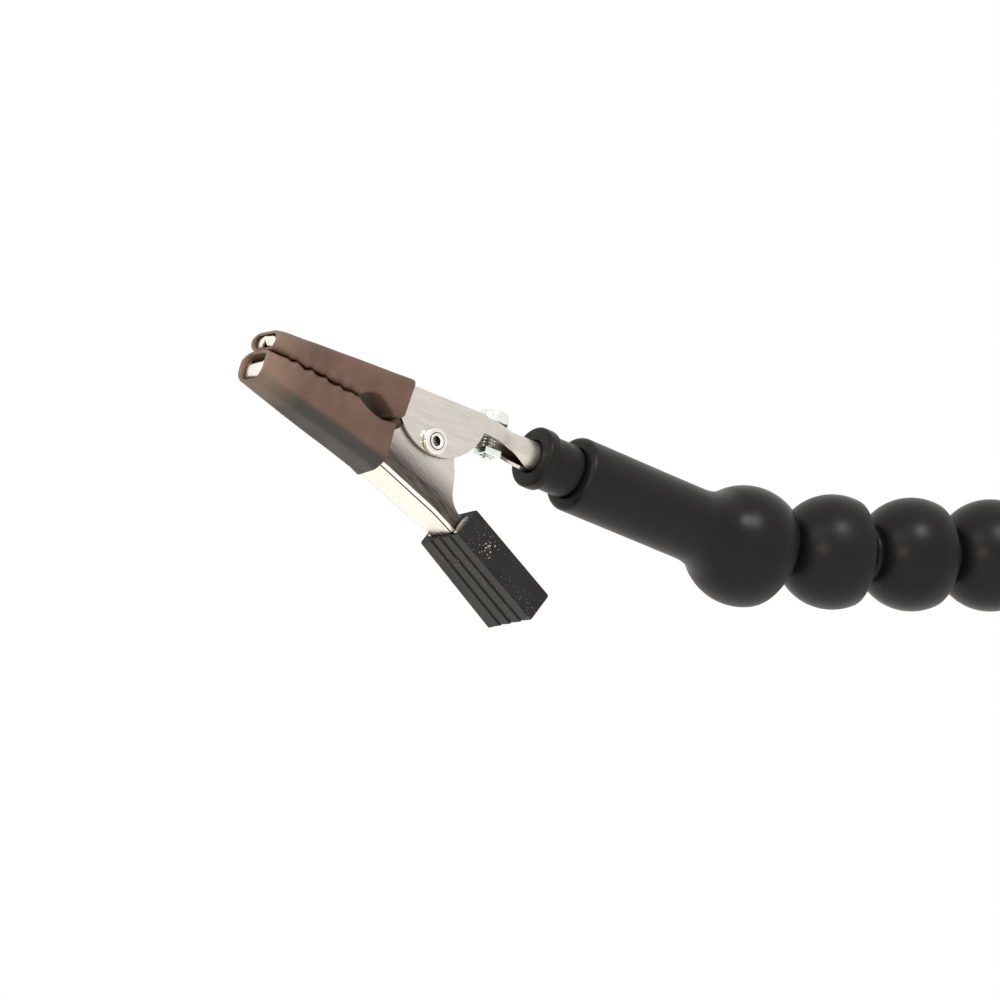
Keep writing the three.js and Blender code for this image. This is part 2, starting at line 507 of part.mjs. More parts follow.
function assemble() {
  const part = new THREE.Group();
  part.add(piece("base_connector", baseConnector(), hoseBlack()));

  let joint = new THREE.Vector3(BASE_BALL_X, 0, 0);
  for (let i = 0; i < SEGMENTS; i += 1) {
    const link = frameAt(joint, LINK_YAW[i], LINK_DIP[i]);
    link.name = `link_${SEGMENTS - i}`;
    link.add(piece(`arm_segment_${SEGMENTS - i}`, armSegment(), hoseBlack()));
    part.add(link);
    joint = pointOn(link, -PITCH);
  }

  const head = frameAt(joint, HEAD_YAW, HEAD_DIP, HEAD_ROLL);
  head.name = "head";
  const tool = new THREE.Group();
  tool.name = "tool";
  tool.position.x = -BELL_X;
  tool.add(piece("nozzle", nozzle(), hoseBlack()), piece("plug_body", plugBody(), hoseBlack()),
    piece("plug_pin", plugPin(), brass()), piece("plug_leaves", plugLeaves(), springSteel()),
    piece("plug_washer", plugWasher(), zinc()), piece("plug_nut", plugNut(), zinc()));

  // The clip leans about a point halfway along the barrel's seat in the collar.
  const seat = new THREE.Group();
  seat.name = "seat";
  seat.position.x = SOCKET_DEPTH / 2;
  seat.rotation.y = -CLIP_TILT;
  const clip = new THREE.Group();
  clip.name = "clip";
  clip.position.set(-COLLAR_X - SOCKET_DEPTH / 2, 0, -TAIL_Z);
  clip.add(piece("fixed_jaw", fixedJaw(), nickel()), piece("moving_jaw", movingJaw(), nickel()),
    piece("pivot_rivet", pivotRivet(), nickel()), piece("torsion_spring", torsionSpring(), springSteel()),
    piece("upper_jaw_sleeve", upperSleeve(), sleeveBrown()),
    piece("lower_jaw_sleeve", lowerSleeve(), sleeveBrown()),
    piece("thumb_grip", thumbGrip(), gripBlack()),
    piece("terminal_screw", terminalScrew(), zinc()), piece("terminal_nut", terminalNut(), zinc()));
  seat.add(clip);
  tool.add(seat);
  head.add(tool);
  part.add(head);
  return part;
}

const part = assemble();
export default part;
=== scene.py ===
import json
import math

import bpy
import bmesh
from mathutils import Matrix, Vector, noise


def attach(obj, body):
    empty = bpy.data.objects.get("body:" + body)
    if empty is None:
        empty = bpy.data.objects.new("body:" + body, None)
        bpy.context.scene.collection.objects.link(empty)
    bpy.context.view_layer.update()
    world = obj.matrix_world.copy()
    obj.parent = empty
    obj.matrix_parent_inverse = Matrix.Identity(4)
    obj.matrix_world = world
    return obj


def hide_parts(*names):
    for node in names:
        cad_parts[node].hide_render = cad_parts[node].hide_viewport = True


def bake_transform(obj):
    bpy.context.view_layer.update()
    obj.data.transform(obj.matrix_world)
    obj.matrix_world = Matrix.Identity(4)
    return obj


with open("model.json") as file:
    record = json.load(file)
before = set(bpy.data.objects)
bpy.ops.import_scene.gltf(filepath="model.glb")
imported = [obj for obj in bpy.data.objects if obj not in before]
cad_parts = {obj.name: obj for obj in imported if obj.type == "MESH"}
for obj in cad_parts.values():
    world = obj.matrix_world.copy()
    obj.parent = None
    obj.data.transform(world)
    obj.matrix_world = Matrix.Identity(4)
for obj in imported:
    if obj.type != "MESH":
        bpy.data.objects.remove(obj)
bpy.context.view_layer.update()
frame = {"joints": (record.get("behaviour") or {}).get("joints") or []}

bl_info = {
    "name": "Helping-hand clip arm",
    "version": (1, 0, 0),
    "blender": (4, 5, 0),
    "location": "View3D > Sidebar > Helping hand",
    "description": "Builds the finished look of a sprung clip on a ball-and-socket hose arm",
    "category": "Object",
}

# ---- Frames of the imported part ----
MM = 0.001
JOINTS = {joint["name"]: joint for joint in frame["joints"]}
SEAT_DEPTH = 4.1          # mm, the clip swivel's place behind the front of the collar
HALF_EAR = 4.0            # mm, half width of the clip over its ears


def spot(joint):
    return Vector(JOINTS[joint]["pos_m"])


def axis_of(joint):
    return Vector(JOINTS[joint]["axis"]).normalized()


def place(origin, along, up):
    """A frame at origin whose x runs along and whose z leans to up."""
    x = along.normalized()
    z = (up - x * up.dot(x)).normalized()
    matrix = Matrix((x, z.cross(x), z)).transposed().to_4x4()
    matrix.translation = origin
    return matrix


CLIP = place(spot("jaw_open"), (-axis_of("jaw_open")).cross(axis_of("screw_turn")), axis_of("screw_turn"))
TOOL = place(spot("clip_swivel") - axis_of("clip_swivel") * SEAT_DEPTH * MM, axis_of("clip_swivel"),
             axis_of("screw_turn"))
BASE = Matrix.Identity(4)


def segment_frame(number):
    ball, socket = spot(f"hose_joint_{number}"), spot(f"hose_joint_{number + 1}")
    return place(socket, socket - ball, Vector((0, 0, 1)))


PITCH = (spot("hose_joint_2") - spot("hose_joint_1")).length / MM
BELL_X = (spot("hose_joint_1") - TOOL.translation).length / MM
BASE_BALL_X = spot("hose_joint_6").x / MM


# ---- Numbers ----
def mix(a, b, t):
    return a + (b - a) * t


def clamp(value, low=0.0, high=1.0):
    return max(low, min(high, value))


def ease(edge0, edge1, value):
    t = clamp((value - edge0) / (edge1 - edge0))
    return t * t * (3 - 2 * t)


def line(points, x):
    """The height at x of a polyline of points sorted in x."""
    if x <= points[0][0]:
        return points[0][1]
    for (x0, z0), (x1, z1) in zip(points, points[1:]):
        if x <= x1:
            return mix(z0, z1, (x - x0) / max(x1 - x0, 1e-9))
    return points[-1][1]


def curve(start, control, end, steps):
    """Points of a quadratic curve, both ends left in."""
    out = []
    for i in range(steps + 1):
        t = i / steps
        out.append(tuple((1 - t) ** 2 * a + 2 * t * (1 - t) * b + t * t * c
                         for a, b, c in zip(start, control, end)))
    return out


def arc(x, r, radius, start, end, steps):
    """Points of an arc in x and height, with its angles in degrees from +x."""
    out = []
    for i in range(steps + 1):
        angle = math.radians(mix(start, end, i / steps))
        out.append((x + radius * math.cos(angle), r + radius * math.sin(angle)))
    return out


def spread(start, end, count):
    return [mix(start, end, i / (count - 1)) for i in range(count)]


# ---- Meshes ----
class Skin:
    """Points in millimetres and the faces between them."""

    def __init__(self):
        self.points = []
        self.faces = []

    def row(self, points):
        first = len(self.points)
        self.points.extend(points)
        return list(range(first, first + len(points)))

    def bridge(self, a, b, wrap=False):
        count = len(a) if wrap else len(a) - 1
        for i in range(count):
            j = (i + 1) % len(a)
            self.faces.append((a[i], a[j], b[j], b[i]))

    def sheet(self, rows, wrap=False):
        rings = [self.row(points) for points in rows]
        for a, b in zip(rings, rings[1:]):
            self.bridge(a, b, wrap)
        return rings

    def cap(self, ring):
        self.faces.append(tuple(ring))


def build(name, skin, matrix, body, node, material, sharp=35.0, edge=0.0, merge=False):
    """Makes the piece that stands for a CAD node, in its frame and on its body."""
    mesh = bpy.data.meshes.new(name)
    mesh.from_pydata([matrix @ (Vector(p) * MM) for p in skin.points], [], skin.faces)
    work = bmesh.new()
    work.from_mesh(mesh)
    if merge:
        bmesh.ops.remove_doubles(work, verts=work.verts, dist=1e-7)
    bmesh.ops.recalc_face_normals(work, faces=work.faces)
    work.to_mesh(mesh)
    work.free()
    mesh.polygons.foreach_set("use_smooth", [True] * len(mesh.polygons))
    mesh.set_sharp_from_angle(angle=math.radians(sharp))
    mesh.materials.append(material)
    obj = bpy.data.objects.new(name, mesh)
    bpy.context.scene.collection.objects.link(obj)
    if edge:
        bevel = obj.modifiers.new("Rounded edges", "BEVEL")
        bevel.width = edge * MM
        bevel.segments = 2
        bevel.limit_method = "ANGLE"
        bevel.angle_limit = math.radians(40)
        bevel.harden_normals = True
        bevel.use_clamp_overlap = True
    if body:
        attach(obj, body)
    if node:
        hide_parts(node)
    return obj


def paint_light_on_faces(obj, name, wanted):
    """Gives the faces that are wanted a lighter or darker copy of a material: painted light or shade."""
    obj.data.materials.append(finish_of(name))
    index = len(obj.data.materials) - 1
    for face in obj.data.polygons:
        if wanted(face):
            face.material_index = index


def in_clip(face):
    """The face's middle in the clip's frame, in millimetres."""
    return (CLIP.inverted() @ face.center) / MM


def lathe(profile, sides=96):
    """A profile of x and radius turned round x; ends on the axis or closes on its first point."""
    skin = Skin()
    closed = profile[0] == profile[-1]
    rows = []
    for x, r in (profile[:-1] if closed else profile):
        ring = [(x, r * math.cos(2 * math.pi * i / sides), r * math.sin(2 * math.pi * i / sides))
                for i in range(sides)]
        rows.append(skin.row(ring) if r > 1e-6 else skin.row([(x, 0, 0)]) * sides)
    pairs = list(zip(rows, rows[1:])) + ([(rows[-1], rows[0])] if closed else [])
    for a, b in pairs:
        for i in range(sides):
            j = (i + 1) % sides
            corner = list(dict.fromkeys((a[i], a[j], b[j], b[i])))
            if len(corner) > 2:
                skin.faces.append(tuple(corner))
    return skin


def turn_across(skin):
    """Lays a lathed skin along y."""
    skin.points = [(py, px, pz) for px, py, pz in skin.points]
    return skin


def threaded(start, end, radius, pitch, depth, sides=72):
    """Rows of a cylinder with a helical thread cut into it."""
    rows = []
    steps = int((end - start) / pitch * 10)
    for k in range(steps + 1):
        x = mix(start, end, k / steps)
        fade = min(ease(start, start + pitch, x), ease(end, end - pitch, x))
        ring = []
        for i in range(sides):
            turn = (x / pitch - i / sides) % 1.0
            ridge = clamp(1.35 - abs(turn * 2 - 1) * 2.2)
            r = radius - depth * (1 - ridge * fade)
            ring.append((x, r * math.cos(2 * math.pi * i / sides), r * math.sin(2 * math.pi * i / sides)))
        rows.append(ring)
    return rows


# ---- Node groups ----
def new_group(name, inputs, outputs):
    group = bpy.data.node_groups.new(name, "ShaderNodeTree")
    for label, kind, value in inputs:
        socket = group.interface.new_socket(label, in_out="INPUT", socket_type=kind)
        if value is not None:
            socket.default_value = value
    for label, kind in outputs:
        group.interface.new_socket(label, in_out="OUTPUT", socket_type=kind)
    nodes = group.nodes
    return group, nodes.new("NodeGroupInput"), nodes.new("NodeGroupOutput")


def node(tree, kind, links=None, **values):
    """Adds a node, sets its values and links its inputs."""
    made = tree.nodes.new(kind)
    for key, value in values.items():
        setattr(made, key, value)
    for socket, source in (links or {}).items():
        if isinstance(source, bpy.types.NodeSocket):
            tree.links.new(source, made.inputs[socket])
        else:
            made.inputs[socket].default_value = source
    return made


def brushing_group():
    """Fine parallel scratches: a mask of their shade, and the normal they give."""
    group, ins, outs = new_group("Fine brushing", [
        ("Place", "NodeSocketVector", None), ("Turn", "NodeSocketVector", (0, 0, 0)),
        ("Fineness", "NodeSocketFloat", 1.0), ("Depth", "NodeSocketFloat", 0.1)],
        [("Shade", "NodeSocketFloat"), ("Normal", "NodeSocketVector")])
    turned = node(group, "ShaderNodeMapping", {"Vector": ins.outputs["Place"],
                                               "Rotation": ins.outputs["Turn"]})
    stretched = node(group, "ShaderNodeMapping", {"Vector": turned.outputs[0], "Scale": (1.0, 9.0, 14.0)})
    lines = node(group, "ShaderNodeTexNoise", {"Vector": stretched.outputs[0], "Detail": 4.0,
                                               "Roughness": 0.62})
    size = node(group, "ShaderNodeMath", {0: ins.outputs["Fineness"], 1: 260.0}, operation="MULTIPLY")
    group.links.new(size.outputs[0], lines.inputs["Scale"])
    shade = node(group, "ShaderNodeMapRange", {"Value": lines.outputs["Fac"], "From Min": 0.3,
                                               "From Max": 0.7})
    bump = node(group, "ShaderNodeBump", {"Height": shade.outputs[0], "Strength": ins.outputs["Depth"],
                                          "Distance": 0.00006})
    group.links.new(shade.outputs[0], outs.inputs["Shade"])
    group.links.new(bump.outputs[0], outs.inputs["Normal"])
    return group


def grain_group():
    """Soft moulded grain: slow mottling, and the normal of its fine pits."""
    group, ins, outs = new_group("Moulded grain", [
        ("Place", "NodeSocketVector", None), ("Mottle size", "NodeSocketFloat", 200.0),
        ("Pit size", "NodeSocketFloat", 2500.0), ("Depth", "NodeSocketFloat", 0.1)],
        [("Mottle", "NodeSocketFloat"), ("Normal", "NodeSocketVector")])
    slow = node(group, "ShaderNodeTexNoise", {"Vector": ins.outputs["Place"],
                                              "Scale": ins.outputs["Mottle size"], "Detail": 3.0})
    fine = node(group, "ShaderNodeTexNoise", {"Vector": ins.outputs["Place"],
                                              "Scale": ins.outputs["Pit size"], "Detail": 2.0})
    shade = node(group, "ShaderNodeMapRange", {"Value": slow.outputs["Fac"], "From Min": 0.32,
                                               "From Max": 0.68})
    bump = node(group, "ShaderNodeBump", {"Height": fine.outputs["Fac"], "Strength": ins.outputs["Depth"],
                                          "Distance": 0.00005})
    group.links.new(shade.outputs[0], outs.inputs["Mottle"])
    group.links.new(bump.outputs[0], outs.inputs["Normal"])
    return group


def fleck_group():
    """Scattered bright flecks, gathered where the patches are."""
    group, ins, outs = new_group("Flecks", [
        ("Place", "NodeSocketVector", None), ("Size", "NodeSocketFloat", 1500.0),
        ("Amount", "NodeSocketFloat", 0.1), ("Gather", "NodeSocketVector", (0, 0, 0))],
        [("Fleck", "NodeSocketFloat")])
    cells = node(group, "ShaderNodeTexVoronoi", {"Vector": ins.outputs["Place"],
                                                 "Scale": ins.outputs["Size"]})
    patch = node(group, "ShaderNodeTexNoise", {"Vector": ins.outputs["Place"], "Scale": 130.0,
                                               "Detail": 2.0})
    near = node(group, "ShaderNodeMath", {0: patch.outputs["Fac"], 1: ins.outputs["Amount"]},
                operation="MULTIPLY")
    away = node(group, "ShaderNodeVectorMath", {0: ins.outputs["Place"], 1: ins.outputs["Gather"]},
                operation="DISTANCE")
    crowd = node(group, "ShaderNodeMapRange", {"Value": away.outputs["Value"], "From Min": 0.0004,
                                               "From Max": 0.0022, "To Min": 0.24, "To Max": 0.0})
    reach = node(group, "ShaderNodeMath", {0: near.outputs[0], 1: crowd.outputs[0]}, operation="ADD")
    fleck = node(group, "ShaderNodeMath", {0: cells.outputs["Distance"], 1: reach.outputs[0]},
                 operation="LESS_THAN")
    group.links.new(fleck.outputs[0], outs.inputs["Fleck"])
    return group


GROUPS = {}


def shared(name):
    if name not in GROUPS:
        GROUPS[name] = {"brushing": brushing_group, "grain": grain_group, "flecks": fleck_group}[name]()
    return GROUPS[name]


def clip_place(tree):
    """Positions in the clip's own frame."""
    where = node(tree, "ShaderNodeTexCoord")
    back = CLIP.inverted()
    return node(tree, "ShaderNodeMapping", {"Vector": where.outputs["Object"],
                                            "Location": back.to_translation(),
                                            "Rotation": back.to_euler()}).outputs[0]


def put_group(tree, name, **values):
    made = tree.nodes.new("ShaderNodeGroup")
    made.node_tree = shared(name)
    tree.links.new(clip_place(tree), made.inputs["Place"])
    for key, value in values.items():
        made.inputs[key.replace("_", " ")].default_value = value
    return made


# ---- Materials ----
def blank(name, **values):
    material = bpy.data.materials.new(name)
    material.use_nodes = True
    shader = material.node_tree.nodes["Principled BSDF"]
    for key, value in values.items():
        shader.inputs[key.replace("_", " ")].default_value = value
    return material, material.node_tree, shader


def blend_colour(tree, factor, low, high):
    made = node(tree, "ShaderNodeMix", data_type="RGBA")
    tree.links.new(factor, made.inputs[0])
    for socket, value in ((6, low), (7, high)):
        if isinstance(value, bpy.types.NodeSocket):
            tree.links.new(value, made.inputs[socket])
        else:
            made.inputs[socket].default_value = (*value[:3], 1)
    return made.outputs[2]


def ranged(tree, value, low, high):
    made = node(tree, "ShaderNodeMapRange", {"Value": value, "To Min": low, "To Max": high})
    return made.outputs[0]


def shade_of(colour, factor):
    return tuple(c * factor for c in colour)


def painted_crevice_shade(tree, colour, reach, dark):
    """Painted shade: the colour turns to the dark colour where the surface is closed in."""
    shade = node(tree, "ShaderNodeAmbientOcclusion", {"Distance": reach}, samples=8)
    open_part = node(tree, "ShaderNodeMapRange", {"Value": shade.outputs["AO"], "From Min": 0.0,
                                                  "From Max": 0.55})
    return blend_colour(tree, open_part.outputs[0], dark, colour)


def sheet_metal(settings, name, lever_with_web_shade=False, painted_light_level=1.0):
    """Brushed nickel plate, with painted shade in its crevices; on the lever, painted shade darkens it
    towards the web. A light level above 1 makes a painted highlight copy, below 1 a copy in painted shade.
    """
    material, tree, shader = blank(name, Metallic=1.0)
    turn = (0, math.radians(-25 if lever_with_web_shade else 0), 0)
    lines = put_group(tree, "brushing", Fineness=1.0, Depth=settings.brush_depth, Turn=turn)
    colour = shade_of(tuple(settings.colour), painted_light_level)
    bright = blend_colour(tree, lines.outputs["Shade"], shade_of(colour, 0.9), shade_of(colour, 1.06))
    # Painted shade: the lever's side walls turn dark towards its web.
    if lever_with_web_shade:
        height = node(tree, "ShaderNodeVectorMath", {0: clip_place(tree),
                                                     1: (math.sin(LEVER_FALL), 0, math.cos(LEVER_FALL))},
                      operation="DOT_PRODUCT")
        depth = node(tree, "ShaderNodeMapRange", {"Value": height.outputs["Value"], "From Min": -0.0018,
                                                  "From Max": -0.0054, "To Min": 0.0, "To Max": 1.0})
        low_painted_shade = (colour[0], colour[1] * 0.94, colour[2] * 0.86)
        dark = blend_colour(tree, lines.outputs["Shade"], shade_of(low_painted_shade, 0.06), shade_of(low_painted_shade, 0.25))
        bright = blend_colour(tree, depth.outputs[0], bright, dark)
    # Painted shade in the crevices, warm brown as a painted reflection; the painted highlight copy has
    # none.
    shaded = bright if painted_light_level > 1 else painted_crevice_shade(tree, bright, 0.004,
                                             shade_of((0.2, 0.105, 0.05), min(painted_light_level, 1)))
    tree.links.new(shaded, shader.inputs["Base Color"])
    tree.links.new(ranged(tree, lines.outputs["Shade"], settings.roughness - 0.05,
                          settings.roughness + 0.08),
                   shader.inputs["Roughness"])
    tree.links.new(lines.outputs["Normal"], shader.inputs["Normal"])
    return material


def plain_metal(name, colour, roughness, fineness):
    """Turned or drawn metal with a light brushing."""
    material, tree, shader = blank(name, Metallic=1.0)
    lines = put_group(tree, "brushing", Fineness=fineness, Depth=0.015, Turn=(0, math.radians(90), 0))
    tree.links.new(blend_colour(tree, lines.outputs["Shade"], shade_of(colour, 0.94), colour),
                   shader.inputs["Base Color"])
    tree.links.new(ranged(tree, lines.outputs["Shade"], roughness - 0.04, roughness + 0.05),
                   shader.inputs["Roughness"])
    tree.links.new(lines.outputs["Normal"], shader.inputs["Normal"])
    return material


def sleeve_rubber(settings):
    """Shrunk tube: brown, satin, a little worn and rubbed, with painted shade on its underside and in its
    folds.
    """
    material, tree, shader = blank("brown sleeve", Specular_IOR_Level=0.26)
    grain = put_group(tree, "grain", Mottle_size=170.0, Pit_size=3800.0, Depth=0.35)
    colour = tuple(settings.colour)
    base = blend_colour(tree, grain.outputs["Mottle"], shade_of(colour, 0.72), shade_of(colour, 1.2))
    rub = put_group(tree, "brushing", Fineness=0.7, Depth=0.05, Turn=(0, math.radians(25), 0))
    rubbed = ranged(tree, rub.outputs["Shade"], 0.0, 0.22)
    worn = blend_colour(tree, rubbed, base, (colour[0] * 1.35, colour[1] * 1.2, colour[2] * 1.15))
    # Painted shade: the lower sleeve's underside, beside the lever's web, turns dark grey.
    under = node(tree, "ShaderNodeVectorMath", {0: clip_place(tree), 1: (-LIMB_TILT, 0, 1)},
                 operation="DOT_PRODUCT")
    low_painted_shade = node(tree, "ShaderNodeMapRange", {"Value": under.outputs["Value"], "From Min": -0.0061,
                                              "From Max": -0.0069, "To Min": 0.0, "To Max": 1.0})
    grey = blend_colour(tree, low_painted_shade.outputs[0], worn, (0.038, 0.034, 0.03))
    # Lighter brown towards the nose.
    along = node(tree, "ShaderNodeSeparateXYZ", {"Vector": clip_place(tree)})
    tip = node(tree, "ShaderNodeMapRange", {"Value": along.outputs["X"], "From Min": -0.022,
                                            "From Max": -0.0275, "To Min": 0.0, "To Max": 0.45})
    lighter_tip = blend_colour(tree, tip.outputs[0], grey, (0.27, 0.185, 0.13))
    # Painted shade in the sleeves' folds and in the gap between them.
    tree.links.new(painted_crevice_shade(tree, lighter_tip, 0.0016, (0.012, 0.008, 0.007)), shader.inputs["Base Color"])
    tree.links.new(ranged(tree, grain.outputs["Mottle"], settings.roughness - 0.07,
                          settings.roughness + 0.07),
                   shader.inputs["Roughness"])
    tree.links.new(grain.outputs["Normal"], shader.inputs["Normal"])
    return material


def grip_plastic(settings, name, painted_light_level):
    """Soft black plastic with a dusting of bright flecks; a light level above 1 makes a copy with painted
    sheen.
    """
    material, tree, shader = blank(name, Specular_IOR_Level=0.16)
    grain = put_group(tree, "grain", Mottle_size=240.0, Pit_size=4200.0, Depth=0.25)
    flecks = put_group(tree, "flecks", Size=2600.0, Amount=settings.flecks,
                       Gather=Vector((12.7, -4.15, -11.6)) * MM)
    # The light level lightens the whole colour: painted sheen on the thumb face's copy.
    colour = shade_of(tuple(settings.colour), painted_light_level)
    base = blend_colour(tree, grain.outputs["Mottle"], shade_of(colour, 0.82), shade_of(colour, 1.2))
    dusty = blend_colour(tree, flecks.outputs["Fleck"], base, (0.45, 0.41, 0.33))
    tree.links.new(dusty, shader.inputs["Base Color"])
    tree.links.new(ranged(tree, grain.outputs["Mottle"], 0.46, 0.6), shader.inputs["Roughness"])
    tree.links.new(grain.outputs["Normal"], shader.inputs["Normal"])
    return material


def hose_plastic(settings):
    """Charcoal moulded plastic with a soft shine."""
    material, tree, shader = blank("black hose", Specular_IOR_Level=0.16)
    grain = put_group(tree, "grain", Mottle_size=90.0, Pit_size=2600.0, Depth=0.08)
    colour = tuple(settings.colour)
    base = blend_colour(tree, grain.outputs["Mottle"], shade_of(colour, 0.88), shade_of(colour, 1.12))
    tree.links.new(base, shader.inputs["Base Color"])
    tree.links.new(ranged(tree, grain.outputs["Mottle"], settings.roughness - 0.04,
                          settings.roughness + 0.05),
                   shader.inputs["Roughness"])
    tree.links.new(grain.outputs["Normal"], shader.inputs["Normal"])
    return material


MATERIALS = {}


def finish_of(name):
    """The named material, made once from the scene's settings."""
    scene = bpy.context.scene
    if name not in MATERIALS:
        metal = scene.hand_metal
        makers = {
            "nickel": lambda: sheet_metal(metal, "nickel plate"),
            # the lever's plate, with painted shade towards its web
            "nickel_web_shaded": lambda: sheet_metal(metal, "nickel plate, painted web shade", lever_with_web_shade=True),
            # a lighter copy: painted highlight
            "painted_highlight": lambda: sheet_metal(metal, "nickel plate, painted highlight", painted_light_level=1.45),
            # a darker copy: painted shade on the ears' cut edges
            "cut_edge_painted_shade": lambda: sheet_metal(metal, "nickel plate, cut edge in painted shade", painted_light_level=0.4),
            # a near-black copy: painted shade lines on the web's corners and in the rivet
            "painted_deep_shade": lambda: sheet_metal(metal, "nickel plate, painted deep shade", painted_light_level=0.09),
            "rivet": lambda: plain_metal("bright rivet", (0.86, 0.83, 0.77), 0.2, 0.5),
            "spring": lambda: plain_metal("spring wire", (0.42, 0.41, 0.39), 0.32, 1.0),
            "zinc": lambda: plain_metal("bright zinc", (0.84, 0.87, 0.82), 0.16, 0.6),
            "brass": lambda: plain_metal("turned brass", (0.70, 0.50, 0.24), 0.25, 0.6),
            "sleeve": lambda: sleeve_rubber(scene.hand_sleeves),
            "grip": lambda: grip_plastic(scene.hand_grip, "black grip", 1.0),
            # a 2.6 times lighter copy: painted sheen
            "grip_painted_sheen": lambda: grip_plastic(scene.hand_grip, "black grip, painted sheen", 2.6),
            "hose": lambda: hose_plastic(scene.hand_hose),
        }
        MATERIALS[name] = makers[name]()
    return MATERIALS[name]


# ---- Outlines of the clip, in its own frame: x to the tail, z to the back ----
BACK_Z = 6.85
SHEET = 0.5
LIMB_TILT = -0.2555       # fall of the moving jaw's web ahead of its bend
BITE = [(-31.0, 4.592), (-27.0, 4.1), (-14.0, 2.5), (-10.0, 2.008)]
NOSE_FIXED = -27.3
NOSE_MOVING = -28.25
BEND_X, KNEE_X, LEVER_END = -8.5, 7.5, 20.2
GRIP_DIP = math.radians(28.9)
LEVER_TAIL_FALL = math.tan(GRIP_DIP)
GRIP_MOUTH = (6.86, -11.67)               # x and z of the mouth's lower edge
GRIP_LENGTH, GRIP_HEIGHT = 17.15, 4.9
GRIP_HALF_MOUTH, GRIP_HALF_END = 4.05, 4.5
GRIP_TWIST = 0.114                        # rise of the far side, per mm across
TIP_FROM_BITE, ROOT_FROM_BITE = 0.77, 1.37
TAIL_AXIS, TAIL_R, TAIL_END = 4.65, 2.28, 25.3
TEETH = 6


def bite(x):
    return line(BITE, x)


LEVER_FALL = math.radians(20.4)


def lever_line(x):
    return -(7.8 + math.sin(LEVER_FALL) * x) / math.cos(LEVER_FALL)


def web_line(x):
    """Outer face of the moving jaw's web."""
    if x < BEND_X:
        return lever_line(BEND_X) + LIMB_TILT * (x - BEND_X)
    if x < KNEE_X:
        return lever_line(x)
    return lever_line(KNEE_X) - LEVER_TAIL_FALL * (x - KNEE_X)


def teeth(start, end, side):
    step = (end - start) / TEETH
    out = []
    for i in range(TEETH):
        tip = start + step * i
        root = tip + step / 2
        out += [(tip, bite(tip) + side * TIP_FROM_BITE), (root, bite(root) + side * ROOT_FROM_BITE)]
    return out


def channel(stations, section, skin_depth=SHEET):
    """A bent sheet: section(x) gives the outer line in y and z, from one lip to the other."""
    outer, inner = [], []
    for x in stations:
        path = section(x)
        normals = []
        for i in range(len(path)):
            a, b = path[max(i - 1, 0)], path[min(i + 1, len(path) - 1)]
            dy, dz = b[0] - a[0], b[1] - a[1]
            length = math.hypot(dy, dz) or 1.0
            normals.append((-dz / length, dy / length))
        middle = path[len(path) // 2]
        ny, nz = normals[len(path) // 2]
        heart_z = (path[0][1] + middle[1]) / 2
        sign = 1 if nz * (heart_z - middle[1]) > 0 else -1
        outer.append([(x, y, z) for y, z in path])
        inner.append([(x, y + sign * ny * skin_depth, z + sign * nz * skin_depth)
                      for (y, z), (ny, nz) in zip(path, normals)])
    skin = Skin()
    out_rings, in_rings = skin.sheet(outer), skin.sheet(inner)
    skin.bridge([r[0] for r in out_rings], [r[0] for r in in_rings])
    skin.bridge([r[-1] for r in out_rings], [r[-1] for r in in_rings])
    skin.bridge(out_rings[0], in_rings[0])
    skin.bridge(out_rings[-1], in_rings[-1])
    return skin


WALL_STEPS, CORNER_STEPS, BACK_STEPS = 10, 8, 5


def u_path(half, lip, back, radius):
    """A U section: from the near lip, over the back, to the far lip."""
    way = 1 if back > lip else -1
    near = [(-half, mix(lip, back - way * radius, i / WALL_STEPS)) for i in range(WALL_STEPS)]
    corner = []
    for i in range(CORNER_STEPS + 1):
        angle = math.pi / 2 * i / CORNER_STEPS
        corner.append((-half + radius - radius * math.cos(angle),
                       back - way * radius + way * radius * math.sin(angle)))
    flat = [(mix(-half + radius, 0, i / BACK_STEPS), back) for i in range(1, BACK_STEPS)]
    left = near + corner + flat
    return left + [(0, back)] + [(-y, z) for y, z in reversed(left)]


def ring_path(radius, axis_z, lip_angle):
    """The same count of points round a tube whose seam is at the bottom."""
    count = 2 * (WALL_STEPS + CORNER_STEPS + 1 + BACK_STEPS - 1) + 1
    out = []
    for i in range(count):
        angle = math.radians(mix(-lip_angle, lip_angle, i / (count - 1)))
        out.append((radius * math.sin(angle), axis_z + radius * math.cos(angle)))
    return out


FIXED_EDGE = (
    teeth(NOSE_FIXED, -14.0, 1) + [(-14.0, bite(-14) + TIP_FROM_BITE)]
    + curve((-14.0, bite(-14) + TIP_FROM_BITE), (-11.3, 5.9), (-6.49, 2.2), 10)[1:]
    + arc(0.5, 6.2, 8.05, 209.7, 344.1, 34)[1:]
    + [(8.4, 4.0), (13.4, 4.0), (13.8, 3.92), (15.0, 3.62), (16.2, 3.25), (17.4, 2.85), (18.8, 2.48),
       (25.4, 2.46)]
)


NOSE_DROP = 0.3


